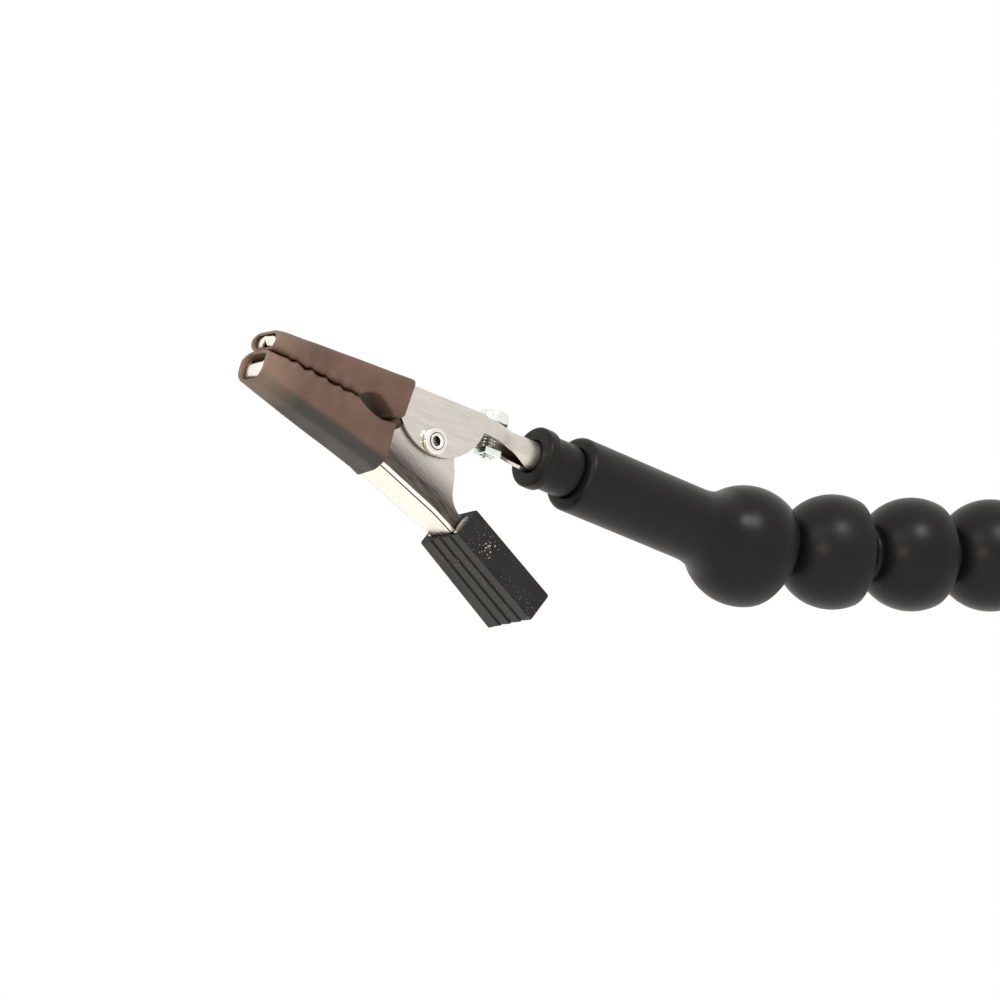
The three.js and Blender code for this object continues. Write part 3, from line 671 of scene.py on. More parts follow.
def fixed_section(x):
    nose = ease(-27.6, -26.0, x)
    half = mix(2.2, 2.35, nose) if x < -26 else mix(2.35, HALF_EAR, clamp((x + 26) / 20))
    if x > 8.2:
        half = mix(HALF_EAR, TAIL_R, clamp((x - 8.2) / 7.8))
    radius = 1.25 if x < -8 else mix(1.25, 0.85, ease(-8, -4, x))
    if x > 8.2:
        radius = mix(0.85, 1.9, clamp((x - 8.2) / 7.8))
    back = BACK_Z - NOSE_DROP * (1 - ease(-27.6, -26.4, x))
    lip = line(FIXED_EDGE, x)
    path = u_path(half, lip, back, min(radius, half - 0.05))
    if x > 12.0:
        roll = ease(12.0, 16.6, x)
        cosine = clamp((lip - TAIL_AXIS) / TAIL_R, -0.998, 0.99)
        tube = ring_path(TAIL_R, TAIL_AXIS, math.degrees(math.acos(cosine)))
        path = [(mix(a, c, roll), mix(b, d, roll)) for (a, b), (c, d) in zip(path, tube)]
    return path


MOVING_EDGE = (
    [(NOSE_MOVING, bite(NOSE_MOVING) - 1.77), (NOSE_MOVING + 0.4, bite(NOSE_MOVING) - 1.07)]
    + list(reversed(teeth(-14.0, NOSE_MOVING + 0.9, -1)[1:]))
    + [(-14.0, bite(-14) - TIP_FROM_BITE)]
    + [(-13.0, 1.15)] + curve((-12.0, 0.6), (-9.3, -1.6), (-6.1, -0.1), 8)
    + arc(0, 0, 4.6, 160, 2, 18)
    + [(4.61, -0.9), (4.8, -1.6), (5.18, -2.72), (5.36, -3.8), (5.5, -4.9), (5.61, -5.84), (5.93, -6.68),
       (6.46, -7.39), (7.2, -8.0), (8.8, web_line(8.8) + 3.1), (21.4, web_line(21.4) + 2.72)]
)


def moving_section(x):
    half = mix(2.15, 2.3, ease(-28.4, -27, x)) if x < -27 else mix(2.3, 3.35, clamp((x + 27) / 21))
    if x > 3:
        half = mix(3.35, 2.75, clamp((x - 3) / 4)) if x < 7 else mix(2.75, 2.6, clamp((x - 7) / 14))
    back = web_line(x)
    if x < -26.6:
        back += 0.4 * (1 - ease(-28.5, -26.9, x))
    return u_path(half, line(MOVING_EDGE, x), back, 0.7)


def nose_plate(skin, x, half, low, high, radius, notch, bulge, up):
    """Closes a jaw's nose with a rounded plate, notched at the bite if asked."""
    columns, rows = 24, 10
    rings = []
    for i in range(columns + 1):
        y = mix(-half, half, i / columns)
        over = max(abs(y) - (half - radius), 0.0)
        inset = radius - math.sqrt(max(radius * radius - over * over, 0.0))
        dent = notch * max(0.0, 1 - abs(y) / 0.75)
        bottom, top = (low + dent, high - inset) if up else (low + inset, high - dent)
        swell = bulge * (1 - (y / half) ** 2)
        rings.append([(x - swell * math.sin(math.pi * j / rows) ** 0.5 if 0 < j < rows else x, y,
                       mix(bottom, top, j / rows))
                      for j in range(rows + 1)])
    skin.sheet(rings)


def dense(knots, step):
    """Stations at every knot and between them no further apart than step."""
    out = [knots[0]]
    for a, b in zip(knots, knots[1:]):
        count = max(1, math.ceil((b - a) / step))
        out += [mix(a, b, (i + 1) / count) for i in range(count)]
    return out


def knots_of(edge, start, end, extra=()):
    found = sorted({round(x, 4) for x, _ in edge if start < x < end} | {start, end} | set(extra))
    return [x for i, x in enumerate(found) if i == 0 or x - found[i - 1] > 0.004]


# ---- Sleeves ----
def loop_path(half, low, high, low_round, high_round):
    """A rounded closed section, from the middle of its lower face round the near side."""
    room = (high - low) / 2.02
    low_round, high_round = min(low_round, room, half), min(high_round, room, half)
    left = [(-mix(0, half - low_round, i / 6), low) for i in range(7)]
    for i in range(1, 9):
        angle = math.pi / 2 * i / 8
        left.append((-(half - low_round) - low_round * math.sin(angle),
                     low + low_round - low_round * math.cos(angle)))
    for i in range(1, 10):
        left.append((-half, mix(low + low_round, high - high_round, i / 10)))
    for i in range(9):
        angle = math.pi / 2 * i / 8
        left.append((-(half - high_round) - high_round * math.cos(angle),
                     high - high_round + high_round * math.sin(angle)))
    for i in range(1, 7):
        left.append((-mix(half - high_round, 0, i / 6), high))
    return left + [(-y, z) for y, z in reversed(left[1:-1])]


HALF_GAP = 0.14            # mm, half of the dark line between the closed sleeves


def tooth_bump(x):
    """The regular part of the imprint, which also pinches the sleeves' sides."""
    return math.sin((x + 27.2) * 2.62) * ease(-27.4, -26.2, x) * (1 - ease(-15.5, -14, x))


def wave(x, height):
    """The imprint of the teeth along the bite."""
    window = ease(-27.4, -26.2, x) * (1 - ease(-15.4, -14.0, x))
    swell = 0.65 + 0.35 * math.sin(x * 0.83 + 1.3)
    return height * window * (swell * math.sin((x + 27.2) * 2.62) + 0.4 * math.sin((x + 26.0) * 4.9 + 0.8)
                              + 0.5 * math.sin(x * 1.17))


def tube(stations, section, ends, wall):
    """A sleeve: section(x, grow) gives its loop and ends(t, y, z, x) its place along the jaw."""
    skin = Skin()
    outer, inner = [], []
    for t in stations:
        outer.append(ends(t, section, 0.0))
        inner.append(ends(t, section, -wall))
    lip = 0.16
    front_lip = [tuple(mix(a, b, 0.5) - (lip if k == 0 else 0) for k, (a, b) in enumerate(zip(p, q)))
                 for p, q in zip(outer[0], inner[0])]
    rear_lip = [tuple(mix(a, b, 0.5) + (lip if k == 0 else 0) for k, (a, b) in enumerate(zip(p, q)))
                for p, q in zip(outer[-1], inner[-1])]
    out_rings, in_rings = skin.sheet(outer, True), skin.sheet(inner, True)
    for rings, ring in ((0, front_lip), (-1, rear_lip)):
        middle = skin.row(ring)
        skin.bridge(out_rings[rings], middle, True)
        skin.bridge(middle, in_rings[rings], True)
    return skin


def lumps(point, size, height):
    """Slow unevenness of a shrunk tube."""
    x, y, z = point
    place = Vector((x * size, y * size * 1.4, z * size * 1.4)) + Vector((7.3, 1.1, 4.2))
    push = noise.noise(place) * height
    away = math.hypot(y, 2.0)
    return (x, y + push * y / away, z)


UPPER_REAR = [(1.2, -6.5), (1.77, -6.05), (7.04, -5.22), (7.6, -5.35)]
UPPER_FRONT = [(4.2, -27.3), (5.2, -27.7), (6.2, -27.7), (7.5, -27.3)]
UPPER_EYE = [(-13.2, 2.52), (-12.4, 3.05), (-11.3, 3.5), (-10.2, 3.5), (-8.8, 2.85), (-7.6, 1.95),
             (-6.6, 1.25), (-5, 1.1)]


def upper_low(x, height):
    if x < -14:
        return bite(x) + HALF_GAP + wave(x, height)
    return mix(bite(-14) + HALF_GAP + wave(x, height), line(UPPER_EYE, x), ease(-14, -12.9, x))


def upper_ends(wave_height):
    def ends(t, section, grow):
        middle = mix(-28.0, -5.6, t)
        low = upper_low(middle, wave_height)
        half = mix(2.95, 4.67, clamp((middle + 28) / 22))
        high = 7.52 - 0.25 * (1 - ease(-28.3, -26.5, middle))
        bump = tooth_bump(middle)
        out = []
        for y, z in section(half + grow, low - grow, high + grow, mix(1.6, 0.75, clamp(t * 5)) + grow,
                            mix(2.2, 1.45, clamp(t * 3)) + grow):
            x = mix(line(UPPER_FRONT, z) - 0.06 * y, line(UPPER_REAR, z), t)
            rise = z - low
            y *= 1 - 0.05 * bump * math.exp(-(rise / 1.1) ** 2)
            pinch = ease(-16, -11, middle) * (1 - ease(-9, -6, middle))
            pinch *= math.exp(-((rise - 0.6) / 1.2) ** 2)
            y *= 1 - 0.05 * pinch
            out.append(lumps((x, y, z), 0.22, 0.16))
        return out
    return ends


LOWER_REAR = [(-7.2, -8.15), (-6.0, -7.85), (-4.8, -7.2), (-3.65, -6.97), (0.86, -6.72), (1.5, -6.8)]
LOWER_FRONT = [(-0.8, -28.75), (0.8, -28.85), (2.8, -28.7), (4.4, -28.1)]
LOWER_EYE = [(-13.2, 2.05), (-12.6, 1.68), (-11.97, 1.33), (-10.6, 0.78), (-8.95, 0.46), (-7.6, 0.62),
             (-6.5, 0.9)]


def lower_high(x, height):
    if x < -14:
        return bite(x) - HALF_GAP + wave(x, height)
    return mix(bite(-14) - HALF_GAP + wave(x, height), line(LOWER_EYE, x), ease(-14, -12.9, x))


def lower_ends(wave_height):
    def ends(t, section, grow):
        middle = mix(-29.2, -7.0, t)
        high = lower_high(middle, wave_height)
        low = web_line(middle) - 0.69
        half = mix(2.9, 4.02, clamp((middle + 29) / 23))
        bump = tooth_bump(middle)
        out = []
        for y, z in section(half + grow, low - grow, high + grow, mix(2.25, 1.85, clamp(t * 3)) + grow,
                            mix(1.6, 0.7, clamp(t * 5)) + grow):
            far = (y + 4) / 8 * 1.3 * ease(-3, -6.4, z)
            x = mix(line(LOWER_FRONT, z) - 0.07 * y, line(LOWER_REAR, z) + far, t)
            drop = high - z
            y *= 1 + 0.05 * bump * math.exp(-(drop / 1.1) ** 2)
            curl = ease(-14.5, -12, middle) * math.exp(-((drop - 0.5) / 0.8) ** 2)
            y *= 1 + 0.035 * curl
            out.append(lumps((x, y, z), 0.2, 0.2))
        return out
    return ends


# ---- Settings ----
class HandMetal(bpy.types.PropertyGroup):
    colour: bpy.props.FloatVectorProperty(name="Plate colour", description="Colour of the nickel plate",
                                          subtype="COLOR", default=(0.66, 0.615, 0.555), min=0, max=1)
    roughness: bpy.props.FloatProperty(name="Roughness",
                                       description="How blurred the plate's reflections are",
                                       default=0.3, min=0.05, max=1, subtype="FACTOR")
    brush_depth: bpy.props.FloatProperty(name="Brushing", description="Strength of the fine scratches",
                                         default=0.16, min=0, max=1, subtype="FACTOR")
    edge: bpy.props.FloatProperty(name="Edge rounding", description="Rounding of the sheet's cut edges",
                                  default=0.00006, min=0, max=0.0003, unit="LENGTH", precision=5)


class HandSleeves(bpy.types.PropertyGroup):
    colour: bpy.props.FloatVectorProperty(name="Sleeve colour", description="Colour of the shrunk tube",
                                          subtype="COLOR", default=(0.104, 0.060, 0.045), min=0, max=1)
    roughness: bpy.props.FloatProperty(name="Roughness", description="How dull the tube is",
                                       default=0.5, min=0.05, max=1, subtype="FACTOR")
    wall: bpy.props.FloatProperty(name="Wall", description="Thickness of the tube's wall",
                                  default=0.0005, min=0.0002, max=0.001, unit="LENGTH", precision=5)
    imprint: bpy.props.FloatProperty(name="Imprint",
                                     description="Height of the waves the teeth press into the tube",
                                     default=0.00012, min=0, max=0.0004, unit="LENGTH", precision=5)


class HandGrip(bpy.types.PropertyGroup):
    colour: bpy.props.FloatVectorProperty(name="Grip colour", description="Colour of the grip's plastic",
                                          subtype="COLOR", default=(0.0135, 0.0132, 0.0118), min=0, max=1)
    ribs: bpy.props.IntProperty(name="Ribs", description="Ribs along the thumb face", default=4, min=2,
                                max=9)
    rib_depth: bpy.props.FloatProperty(name="Rib depth", description="Height of the step between two ribs",
                                       default=0.0002, min=0, max=0.0006, unit="LENGTH", precision=5)
    flecks: bpy.props.FloatProperty(name="Flecks", description="Amount of bright flecks on the plastic",
                                    default=0.19, min=0, max=1, subtype="FACTOR")


class HandHose(bpy.types.PropertyGroup):
    colour: bpy.props.FloatVectorProperty(name="Hose colour",
                                          description="Colour of the nozzle and the segments",
                                          subtype="COLOR", default=(0.0068, 0.0066, 0.006), min=0, max=1)
    roughness: bpy.props.FloatProperty(name="Roughness", description="How dull the plastic is",
                                       default=0.36, min=0.05, max=1, subtype="FACTOR")
    thread_depth: bpy.props.FloatProperty(name="Thread depth",
                                          description="Depth of the base connector's thread",
                                          default=0.0007, min=0.0002, max=0.0012, unit="LENGTH",
                                          precision=5)


class HandStage(bpy.types.PropertyGroup):
    backdrop: bpy.props.FloatProperty(name="Backdrop", description="Brightness of the white surround",
                                      default=1.0, min=0, max=3)
    key_power: bpy.props.FloatProperty(name="Key light",
                                       description="Power of the soft light high on the left",
                                       default=2.2, min=0, max=50)
    floor_drop: bpy.props.FloatProperty(name="Floor drop",
                                        description="How far the floor is below the base",
                                        default=0.3, min=0.05, max=1, unit="LENGTH")


# ---- Operators ----
class Piece:
    bl_options = {"REGISTER", "UNDO"}


class HAND_OT_fixed_jaw(Piece, bpy.types.Operator):
    """The pressed upper jaw with its pivot ears, open tail and rolled barrel"""
    bl_idname = "hand.fixed_jaw"
    bl_label = "Fixed jaw"

    def execute(self, context):
        metal = context.scene.hand_metal
        extra = [x for x, _ in arc(0.5, 6.2, 8.05, 209.7, 344.1, 60)] + spread(12.0, 19.0, 40)
        stations = dense(knots_of(FIXED_EDGE, NOSE_FIXED, TAIL_END, extra), 0.45)
        skin = channel(stations, fixed_section)
        first = fixed_section(NOSE_FIXED)
        nose_plate(skin, NOSE_FIXED, -first[0][0] - 0.02, first[0][1], max(z for _, z in first), 1.2, 1.0,
                   0.6, True)
        jaw = build("fixed_jaw_sheet", skin, CLIP, "clip", "fixed_jaw", finish_of("nickel"),
                    edge=metal.edge / MM)
        # Painted highlight on the nose.
        paint_light_on_faces(jaw, "painted_highlight", lambda face: in_clip(face).x < NOSE_FIXED + 0.3)
        across, back = CLIP.to_3x3() @ Vector((0, 1, 0)), CLIP.to_3x3() @ Vector((0, 0, 1))
        # Painted shade on the ears' downward cut edges.
        paint_light_on_faces(jaw, "cut_edge_painted_shade", lambda face: abs(face.normal.dot(across)) < 0.3
                      and face.normal.dot(back) < -0.15
                      and -12 < in_clip(face).x < 13 and in_clip(face).z < 5)
        return {"FINISHED"}


class HAND_OT_moving_jaw(Piece, bpy.types.Operator):
    """The pressed lower jaw, nested between the ears, and the lever behind it"""
    bl_idname = "hand.moving_jaw"
    bl_label = "Moving jaw"

    def execute(self, context):
        metal = context.scene.hand_metal
        extra = (BEND_X, KNEE_X, -6.1)
        stations = dense(knots_of(MOVING_EDGE, NOSE_MOVING, LEVER_END, extra), 0.45)
        skin = channel(stations, moving_section)
        first = moving_section(NOSE_MOVING)
        low = min(z for _, z in first)
        nose_plate(skin, NOSE_MOVING, -first[0][0] - 0.02, low, first[0][1], 0.7, 0.0, 0.65, False)
        jaw = build("moving_jaw_sheet", skin, CLIP, "lever_jaw", "moving_jaw",
                    finish_of("nickel_web_shaded"), edge=metal.edge / MM)
        down = CLIP.to_3x3() @ Vector((-math.sin(LEVER_FALL), 0, -math.cos(LEVER_FALL)))
        # Painted reflection on the faces turned down, the web's outside.
        paint_light_on_faces(jaw, "painted_highlight", lambda face: face.normal.dot(down) > 0.15)
        # A painted shade line along the web's rounded corners, where no groove is modelled.
        paint_light_on_faces(jaw, "painted_deep_shade", lambda face: 0.8 < face.normal.dot(down) < 0.97)
        # Painted highlight on the nose.
        paint_light_on_faces(jaw, "painted_highlight", lambda face: in_clip(face).x < NOSE_MOVING + 0.3)
        return {"FINISHED"}


class HAND_OT_rivet(Piece, bpy.types.Operator):
    """The hollow pivot rivet with a rolled head on each ear"""
    bl_idname = "hand.rivet"
    bl_label = "Pivot rivet"

    def execute(self, context):
        seat = HALF_EAR + 0.05
        half = ([(0, 1.4), (seat, 1.4), (seat, 1.72)] + arc(seat + 0.2, 1.74, 0.2, 180, 90, 4)[1:]
                + arc(seat + 0.5, 1.6, 0.34, 90, 0, 6) + [(seat + 0.84, 1.35), (seat + 0.79, 1.27)]
                + [(seat + 0.79, 1.2), (seat + 0.86, 1.12), (seat + 0.88, 0.98)]
                + [(seat + 0.86, 0.82), (seat + 0.8, 0.76), (seat + 0.66, 0.64), (seat + 0.4, 0.6),
                   (0, 0.6)])
        profile = [(-x, r) for x, r in reversed(half)] + half[1:]
        skin = turn_across(lathe(profile[:-1] + [profile[0]], 64))
        rivet = build("pivot_rivet_rolled", skin, CLIP, "clip", "pivot_rivet", finish_of("rivet"),
                      sharp=50)

        def radius_of(face):
            return math.hypot(in_clip(face).x, in_clip(face).z)

        # Painted shade in the rivet's bore and in a ring on its head.
        paint_light_on_faces(rivet, "painted_deep_shade", lambda face: radius_of(face) < 0.68 or 1.14 < radius_of(face) < 1.3)
        return {"FINISHED"}


class HAND_OT_spring(Piece, bpy.types.Operator):
    """The torsion spring round the rivet"""
    bl_idname = "hand.spring"
    bl_label = "Torsion spring"

    def execute(self, context):
        start, sweep, radius, pitch, wire = 110.0, 1185.0, 2.4, 1.15, 0.4
        width = pitch * sweep / 360
        steps = 132

        def on_coil(degrees, along):
            angle = math.radians(degrees)
            return Vector((radius * math.cos(angle), along, radius * math.sin(angle)))

        def leg(origin, degrees, length):
            angle = math.radians(degrees)
            return origin + Vector((math.cos(angle), 0, math.sin(angle))) * length

        coil = [on_coil(start + sweep * i / steps, -width / 2 + width * i / steps)
                for i in range(steps + 1)]
        path = ([leg(coil[0], start - 90, d) for d in (10, 8, 6, 4, 2.4, 1.2, 0.5)] + coil
                + [leg(coil[-1], start + sweep + 90, d) for d in (0.5, 1.2, 2.4, 4, 5.5, 7, 8.1)])
        skin = Skin()
        rings = []
        for i, point in enumerate(path):
            ahead = (path[min(i + 1, len(path) - 1)] - path[max(i - 1, 0)]).normalized()
            side = ahead.cross(Vector((0, 1, 0))).normalized()
            up = side.cross(ahead)
            rings.append([tuple(point + (side * math.cos(a) + up * math.sin(a)) * wire)
                          for a in (2 * math.pi * k / 12 for k in range(12))])
        laid = skin.sheet(rings, True)
        skin.cap(laid[0])
        skin.cap(laid[-1])
        spring = build("torsion_spring_wire", skin, CLIP, None, "torsion_spring",
                       finish_of("spring"), sharp=60)
        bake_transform(spring)
        return {"FINISHED"}


class HAND_OT_sleeves(Piece, bpy.types.Operator):
    """The two shrunk sleeves over the jaws"""
    bl_idname = "hand.sleeves"
    bl_label = "Jaw sleeves"

    def execute(self, context):
        sleeves = context.scene.hand_sleeves
        wall, height = sleeves.wall / MM, sleeves.imprint / MM
        stations = spread(0, 1, 121)
        upper = tube(stations, loop_path, upper_ends(height), wall)
        build("upper_sleeve_tube", upper, CLIP, "clip", "upper_jaw_sleeve",
              finish_of("sleeve"), sharp=60)
        lower = tube(stations, loop_path, lower_ends(height), wall)
        build("lower_sleeve_tube", lower, CLIP, "lever_jaw", "lower_jaw_sleeve",
              finish_of("sleeve"), sharp=60)
        return {"FINISHED"}


class HAND_OT_grip(Piece, bpy.types.Operator):
    """The moulded grip pushed over the lever, ribbed on its thumb face"""
    bl_idname = "hand.grip"
    bl_label = "Thumb grip"

    def execute(self, context):
        grip = context.scene.hand_grip
        dip, length = GRIP_DIP, GRIP_LENGTH
        depth, ribs = grip.rib_depth / MM, grip.ribs

        def at(s, y, h):
            return (GRIP_MOUTH[0] + s * math.cos(dip) + h * math.sin(dip), y,
                    GRIP_MOUTH[1] - s * math.sin(dip) + h * math.cos(dip))

        def loop(half, height, inset):
            """From the near upper corner down the near side, over the ribs and up the far side."""
            half, top, low = half - inset, height - inset, inset
            corner = 0.22
            points = [(-half + corner, top), (-half + 0.06, top - 0.06), (-half, top - corner)]
            points += [(-half, mix(top - corner, low + 0.35, i / 6)) for i in range(1, 7)]
            width = 2 * (half - 0.12) / ribs
            for i in range(ribs):
                y0 = -half + 0.12 + width * i
                rise = [(0.0, 0.0), (0.25, depth * 0.12), (0.55, depth * 0.4), (0.86, depth * 0.95),
                        (0.93, depth * 1.5)]
                points += [(y0 + width * u, low + v) for u, v in (rise if i < ribs - 1 else rise[:3])]
            points += [(half - 0.12, low), (half, low + 0.35)]
            points += [(half, mix(low + 0.35, top - corner, i / 6)) for i in range(1, 7)]
            points += [(half - 0.06, top - 0.06), (half - corner, top)]
            points += [(mix(half - corner, -half + corner, i / 6), top) for i in range(1, 6)]
            return points

        def ring(s, inset=0.0):
            half = mix(GRIP_HALF_MOUTH, GRIP_HALF_END, s / length)
            return [at(s, y, h - GRIP_TWIST * y) for y, h in loop(half, GRIP_HEIGHT, inset)]

        skin = Skin()
        rows = [ring(0.0, 0.1), ring(0.08, 0.03), ring(0.25)]
        rows += [ring(s) for s in spread(1.0, length - 0.3, 14)]
        rows += [ring(length - 0.12, 0.05), ring(length - 0.03, 0.14), ring(length, 0.3)]
        laid = skin.sheet(rows, True)
        skin.cap(laid[-1])

        def bore(s, grow):
            """The pocket's loop, with as many points as the outside."""
            t = s / length
            half, low, high = mix(2.97, 2.82, t) + grow, 0.6 - grow, mix(3.95, 3.6, t) + grow
            return [at(s, clamp(y / 4.0, -1, 1) * half, mix(low, high, clamp((h - 0.2) / 4.4)))
                    for y, h in loop(GRIP_HALF_MOUTH, GRIP_HEIGHT, 0.0)]

        inside = skin.sheet([bore(0.02, 0.16), bore(0.3, 0.02), bore(1.0, 0), bore(8.0, 0), bore(15.6, 0)],
                            True)
        skin.bridge(laid[0], inside[0], True)
        skin.cap(inside[-1])
        moulded = build("thumb_grip_moulded", skin, CLIP, "lever_jaw", "thumb_grip",
                        finish_of("grip"), sharp=28)
        # The downward thumb face takes the lighter copy: painted sheen.
        pressed = CLIP.to_3x3() @ Vector((-math.sin(dip), 0, -math.cos(dip)))
        paint_light_on_faces(moulded, "grip_painted_sheen", lambda face: face.normal.dot(pressed) > 0.8)

        # Thin folded lips of the lever show in the mouth, on both sides.
        lips = Skin()
        for side in (-1, 1):
            rows = []
            for h in spread(0.75, 4.0, 12):
                sag = 0.3 * math.sin(math.pi * (h - 0.75) / 3.25)
                folds = [(1.6, 2.8), (0.5, 2.83), (-0.02, 2.88), (-0.1, 2.95), (0.4, 2.99), (-0.05, 3.06),
                         (-0.12, 3.12), (0.45, 3.17), (-0.02, 3.22), (0.3, 3.27), (0.6, 3.28)]
                rows.append([at(s - sag * (1 if s < 0.3 else 0), side * y, h) for s, y in folds])
            lips.sheet(rows)
        folded = build("lever_lips", lips, CLIP, "lever_jaw", None, finish_of("nickel"),
                       sharp=50)
        thick = folded.modifiers.new("Thickness", "SOLIDIFY")
        thick.thickness = 0.03 * MM
        return {"FINISHED"}


class HAND_OT_terminal(Piece, bpy.types.Operator):
    """The slotted terminal screw and its square nut"""
    bl_idname = "hand.terminal"
    bl_label = "Terminal screw and nut"

    def execute(self, context):
        x0, low, high, radius, tip, shank = 12.2, 6.95, 8.7, 2.2, 1.75, 0.9
        turn = math.radians(-36)
        # The head is built in strips across its slot, so that the slot is real.
        head = Skin()
        sides, slot, depth = 96, 0.3, 0.85
        profile = [(low, radius - 0.12), (low + 0.12, radius), (high - 0.3, radius),
                   (high - 0.1, radius - 0.1), (high, radius - 0.32)]

        def half_head(side):
            """One half of the head above the slot's floor, beside the slot."""
            rows = []
            floor = high - depth
            for z, r in [(floor, radius)] + profile[2:]:
                start = math.asin(slot / r)
                rows.append([(r * math.cos(a), side * r * math.sin(a), z)
                             for a in spread(start, math.pi - start, 41)])
            laid = head.sheet(rows)
            top = laid[-1]
            for i in range(20):
                a, b, c, d = top[i], top[i + 1], top[40 - i - 1], top[40 - i]
                face = tuple(dict.fromkeys((a, b, c, d)))
                if len(face) > 2:
                    head.faces.append(face)
            ends = [(row[0], row[-1]) for row in laid]
            for (a, b), (c, d) in zip(ends, ends[1:]):
                head.faces.append((a, b, d, c))
            return laid[0]

        near, far = half_head(-1), half_head(1)
        floor_ring = [(radius * math.cos(a), radius * math.sin(a), high - depth)
                      for a in (2 * math.pi * i / sides for i in range(sides))]
        lower = [[(r * math.cos(a), r * math.sin(a), z)
                  for a in (2 * math.pi * i / sides for i in range(sides))]
                 for z, r in profile[:2]]
        laid = head.sheet(lower + [floor_ring], True)
        head.cap(laid[-1])
        head.cap(laid[0])
        rows = threaded(tip, low + 0.02, shank, 0.45, 0.16, 40)
        stem = [[(-py, pz, px) for px, py, pz in row] for row in rows]
        tipped = [[(x * 0.72, y * 0.72, tip) for x, y, z in stem[0]]] + stem
        laid = head.sheet(tipped, True)
        head.cap(laid[0])
        head.cap(laid[-1])
        spin = Matrix.Rotation(turn, 3, "Z")
        head.points = [tuple(spin @ Vector(p) + Vector((x0, 0, 0))) for p in head.points]
        build("terminal_screw_slotted", head, CLIP, "screw", "terminal_screw",
              finish_of("zinc"), sharp=30, edge=0.04)

        nut = Skin()
        half, bottom, top, hole = 1.4, 2.2, 3.3, 1.05
        count = 48
        square, round_hole = [], []
        for i in range(count):
            a = 2 * math.pi * i / count
            reach = 1 / max(abs(math.cos(a)), abs(math.sin(a)))
            square.append((math.cos(a) * reach * half, math.sin(a) * reach * half))
            round_hole.append((math.cos(a) * hole, math.sin(a) * hole))
        shapes = [(square, bottom, 0.94), (square, bottom + 0.14, 1.0), (square, top - 0.14, 1.0),
                  (square, top, 0.94),
                  (round_hole, top, 1.08), (round_hole, top - 0.12, 1.0), (round_hole, bottom + 0.12, 1.0),
                  (round_hole, bottom, 1.08)]
        rings = [nut.row([(x0 + x * k, y * k, z) for x, y in loop]) for loop, z, k in shapes]
        for a, b in zip(rings, rings[1:] + rings[:1]):
            nut.bridge(a, b, True)
        build("terminal_nut_square", nut, CLIP, "clip", "terminal_nut", finish_of("zinc"),
              sharp=30)
        return {"FINISHED"}


class HAND_OT_plug(Piece, bpy.types.Operator):
    """The collar the barrel sits in, and the pin, leaves, washer and nut inside it"""
    bl_idname = "hand.plug"
    bl_label = "Plug"

    def execute(self, context):
        collar = ([(0.12, 2.5), (0.0, 2.62), (0.0, 3.75)] + arc(0.55, 4.0, 0.55, 180, 90, 6)[1:]
                  + arc(1.75, 4.0, 0.55, 90, 20, 5) + arc(2.6, 4.3, 0.3, 200, 270, 4)
                  + [(3.2, 4.0), (6.8, 4.0), (6.9, 3.65), (12.2, 3.65), (12.2, 1.85), (8.2, 1.85),
                     (8.2, 2.5), (0.12, 2.5)])
        build("plug_collar", lathe(collar), TOOL, "nozzle_end", "plug_body",
              finish_of("hose"))
        pin = [(0.7, 0), (0.7, 0.7), (0.95, 1.2), (1.35, 1.45), (1.9, 1.45), (1.95, 0.95), (6.4, 0.95),
               (6.45, 1.45), (7.1, 1.45), (7.1, 2.4), (8.0, 2.4), (8.0, 1.5), (16.2, 1.5),
               (16.6, 1.1), (16.6, 0)]
        build("plug_pin_turned", lathe(pin, 64), TOOL, "nozzle_end", "plug_pin",
              finish_of("brass"))
        cage = Skin()
        for leaf in range(4):
            rows = []
            for x, r in [(2.15, 1.2), (2.6, 1.22), (3.1, 1.27), (3.6, 1.35), (4.2, 1.4), (4.7, 1.35),
                         (5.2, 1.27), (5.7, 1.22), (6.15, 1.2)]:
                gap = 0.2 * ease(2.4, 2.9, x) * (1 - ease(5.4, 5.9, x))
                rows.append([(x, r * math.cos(a), r * math.sin(a))
                             for a in spread(math.pi / 2 * leaf + gap / r,
                                             math.pi / 2 * (leaf + 1) - gap / r, 9)])
            cage.sheet(rows)
        leaves = build("plug_leaf_cage", cage, TOOL, "nozzle_end", "plug_leaves",
                       finish_of("spring"), merge=True)
        thick = leaves.modifiers.new("Thickness", "SOLIDIFY")
        thick.thickness = 0.15 * MM
        thick.offset = 0
        washer = [(12.35, 1.7), (12.35, 3.15), (12.4, 3.2), (12.8, 3.2), (12.85, 3.15), (12.85, 1.7),
                  (12.35, 1.7)]
        build("plug_washer_flat", lathe(washer, 64), TOOL, "nozzle_end", "plug_washer",
              finish_of("zinc"))
        hexagon = [(13.0, 1.65), (13.0, 2.9), (13.15, 3.1), (14.85, 3.1), (15.0, 2.9), (15.0, 1.65),
                   (13.0, 1.65)]
        build("plug_nut_hex", lathe(hexagon, 6), TOOL, "nozzle_end", "plug_nut",
              finish_of("zinc"))
        return {"FINISHED"}


BALL_R, SOCKET_R, BALL_CUT_R = 6.8, 7.3, 4.3
BORE_R, BORE_FROM_BALL = 2.7, 3.4         # mm, the bore, and its start behind the ball's middle


def ball_end(centre):
    """The ball's profile round a point of the axis, from its cut end to its neck."""
    end = centre - math.sqrt(BALL_R ** 2 - BALL_CUT_R ** 2)
    return [(end + 0.1, 3.7), (end, 3.85), (end, 4.1)] + arc(centre, 0, BALL_R, 139.5, 36, 24)


